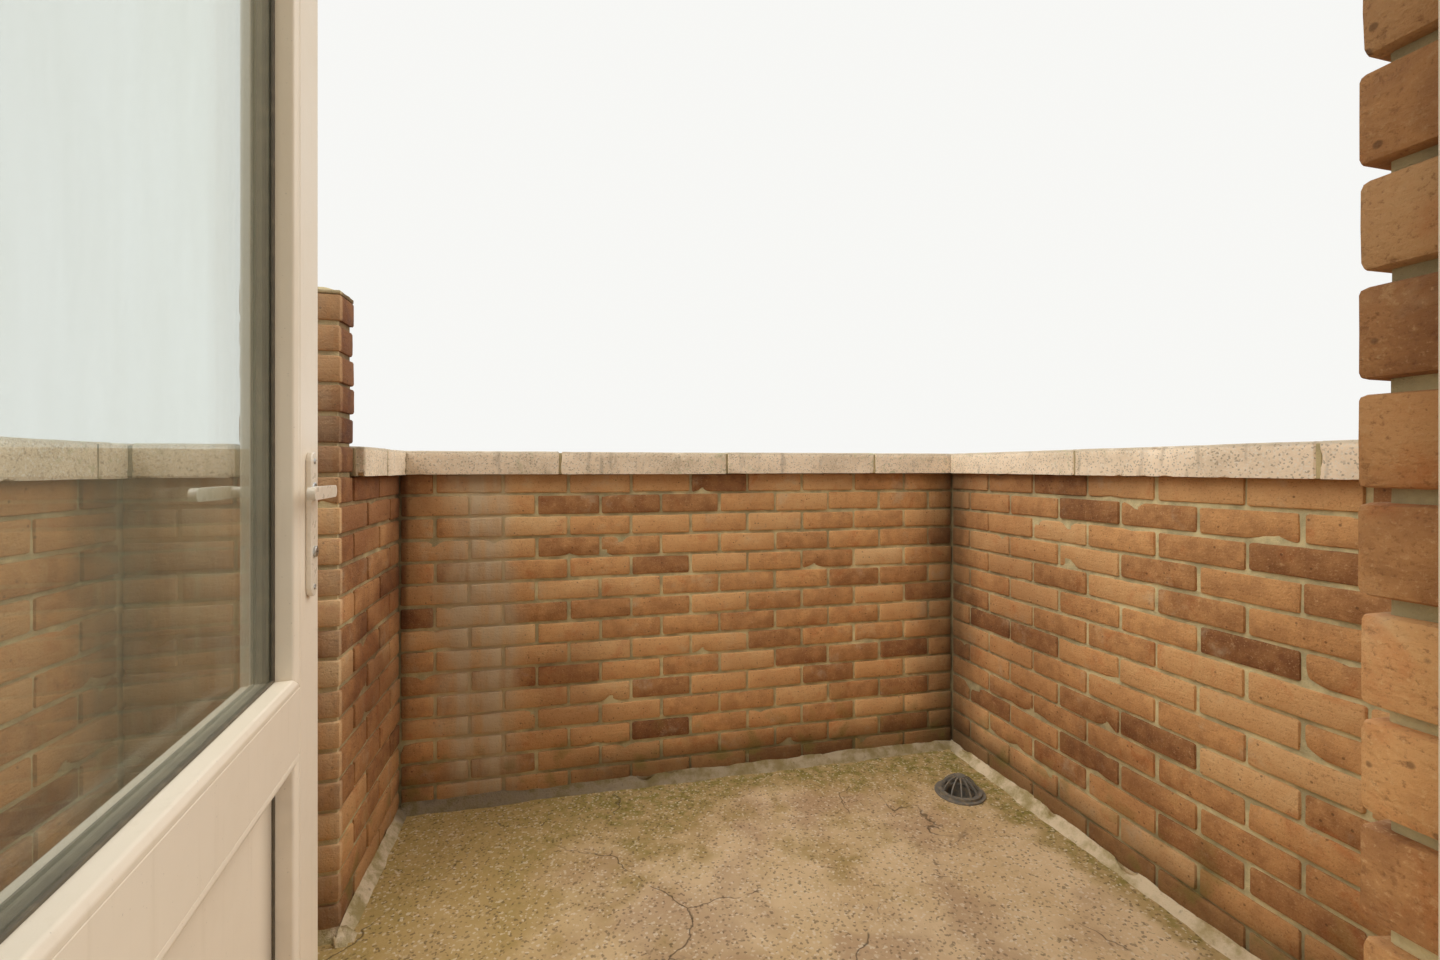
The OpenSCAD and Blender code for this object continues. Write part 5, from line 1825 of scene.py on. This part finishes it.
class TERRACE_OT_stage(bpy.types.Operator):
    """Sets the ground, the soft light and the camera in the doorway"""

    bl_idname = "terrace.stage"
    bl_label = "Stage"

    # Spread of each lamp in degrees, and where its light comes from
    key_spread, key_source = 45, (-0.60, -0.27, 0.75)
    fill_spread, fill_source = 60, (0.72, 0.16, 0.68)
    # Half the ground's width, how far it lies under the slab, and the camera's picture in mm and its reach
    ground_size, ground_drop = 30.0, 0.002
    picture_width, nearest = 36, 0.01

    def execute(self, context):
        s = context.scene.terrace_stage
        scene = context.scene
        scene.view_settings.view_transform = "Standard"

        mesh = bpy.data.meshes.new("ground")
        ground = bmesh.new()
        bmesh.ops.create_grid(ground, x_segments=8, y_segments=8, size=self.ground_size)
        ground.to_mesh(mesh)
        ground.free()
        mesh.materials.append(self.ground_material(s))
        plane = bpy.data.objects.new("ground", mesh)
        plane.location.z = -self.ground_drop
        scene.collection.objects.link(plane)

        self.world(scene, s)
        self.soft_lamp(scene, "key", s.key, self.key_spread, self.key_source)
        self.soft_lamp(scene, "fill", s.fill, self.fill_spread, self.fill_source)

        lens = bpy.data.cameras.new("doorway_view")
        lens.sensor_width = self.picture_width
        lens.lens = s.lens
        lens.shift_y = s.shift_y
        lens.clip_start = self.nearest
        camera = bpy.data.objects.new("doorway_view", lens)
        camera.location = s.eye
        camera.rotation_euler = (math.radians(90), 0, -s.turn)
        scene.collection.objects.link(camera)
        scene.camera = camera
        return {"FINISHED"}

    def soft_lamp(self, scene, name, strength, spread, source):
        """A distant lamp with that spread in degrees, shining from the source's direction."""
        light = bpy.data.lights.new(name, "SUN")
        light.energy = strength
        light.angle = math.radians(spread)
        lamp = bpy.data.objects.new(name, light)
        lamp.rotation_euler = Vector(source).to_track_quat("Z", "Y").to_euler()
        scene.collection.objects.link(lamp)

    def ground_material(self, s):
        """Pale ground that shows as the backdrop in metal and glass."""
        finish = Finish("ground")
        path = finish.node("ShaderNodeLightPath").outputs
        grain = finish.between(finish.lumps(0.3), 0.3, 0.7)
        base = finish.mix(grain, linear(s.paper), linear([0.98 * c for c in s.paper]))
        material = finish.done(base, 0.9)
        glow = finish.node("ShaderNodeEmission", {"Color": linear(s.backdrop), "Strength": 1.0})
        clear = finish.most(path["Is Glossy Ray"], path["Is Transmission Ray"])
        finish.show(finish.both(clear, finish.shader, glow), "Material Output")
        return material

    def world(self, scene, s):
        """Even light on the terrace, and a plain backdrop for the camera, metal and glass."""
        world = bpy.data.worlds.new("even_light")
        world.use_nodes = True
        nodes = Nodes(world.node_tree)
        even = nodes.tree.nodes["Background"]
        nodes.feed(even.inputs["Color"], linear(s.daylight))
        nodes.feed(even.inputs["Strength"], self.dimmed(nodes, s))
        shown = nodes.node("ShaderNodeBackground", {"Color": linear(s.backdrop)})
        path = nodes.node("ShaderNodeLightPath").outputs
        seen = nodes.most(path["Is Camera Ray"], path["Is Glossy Ray"], path["Is Transmission Ray"])
        nodes.show(nodes.both(seen, even, shown), "World Output")
        scene.world = world

    def dimmed(self, nodes, s):
        """Less light comes from the side of the doorway, where the room is, but some comes in level."""
        way = nodes.node("ShaderNodeTexCoord").outputs["Generated"]
        _, y, z = nodes.node("ShaderNodeSeparateXYZ", {0: way}).outputs
        behind = nodes.between(y, -0.15, -0.60)
        lost = nodes.between(z, 0.50, 0.88, s.sky * s.room, 0.0)
        above = nodes.between(z, 0.02, 0.42, s.level, 1.0)
        return nodes.minus(s.sky, nodes.times(behind, nodes.times(lost, above)))


SETTINGS = (
    ("terrace_brickwork", BrickworkSettings),
    ("terrace_stone", StoneSettings),
    ("terrace_floor", FloorSettings),
    ("terrace_door", DoorSettings),
    ("terrace_plaster", PlasterSettings),
    ("terrace_stage", StageSettings),
)
STEPS = (
    TERRACE_OT_finishes,
    TERRACE_OT_low_walls,
    TERRACE_OT_corner_stack,
    TERRACE_OT_house_wall,
    TERRACE_OT_step,
    TERRACE_OT_copings,
    TERRACE_OT_lintel_and_sill,
    TERRACE_OT_floor,
    TERRACE_OT_fillets,
    TERRACE_OT_outlet,
    TERRACE_OT_plaster,
    TERRACE_OT_door_frame,
    TERRACE_OT_door_leaf,
    TERRACE_OT_fittings,
    TERRACE_OT_stage,
)


class TERRACE_PT_steps(bpy.types.Panel):
    """Lists the settings and the steps that dress the terrace"""

    bl_label = "Walled terrace"
    bl_space_type = "VIEW_3D"
    bl_region_type = "UI"
    bl_category = "Terrace"

    def draw(self, context):
        layout = self.layout
        for name, group in SETTINGS:
            box = layout.box()
            box.label(text=group.__name__.replace("Settings", ""))
            for prop in group.__annotations__:
                box.prop(getattr(context.scene, name), prop)
        for step in STEPS:
            layout.operator(step.bl_idname)


CLASSES = (*(group for _, group in SETTINGS), *STEPS, TERRACE_PT_steps)


def register():
    for cls in CLASSES:
        bpy.utils.register_class(cls)
    for name, group in SETTINGS:
        setattr(bpy.types.Scene, name, PointerProperty(type=group))


def unregister():
    for name, _ in SETTINGS:
        delattr(bpy.types.Scene, name)
    for cls in reversed(CLASSES):
        bpy.utils.unregister_class(cls)


def main():
    register()
    for step in STEPS:
        group, name = step.bl_idname.split(".")
        getattr(getattr(bpy.ops, group), name)()


if __name__ == "__main__":
    main()
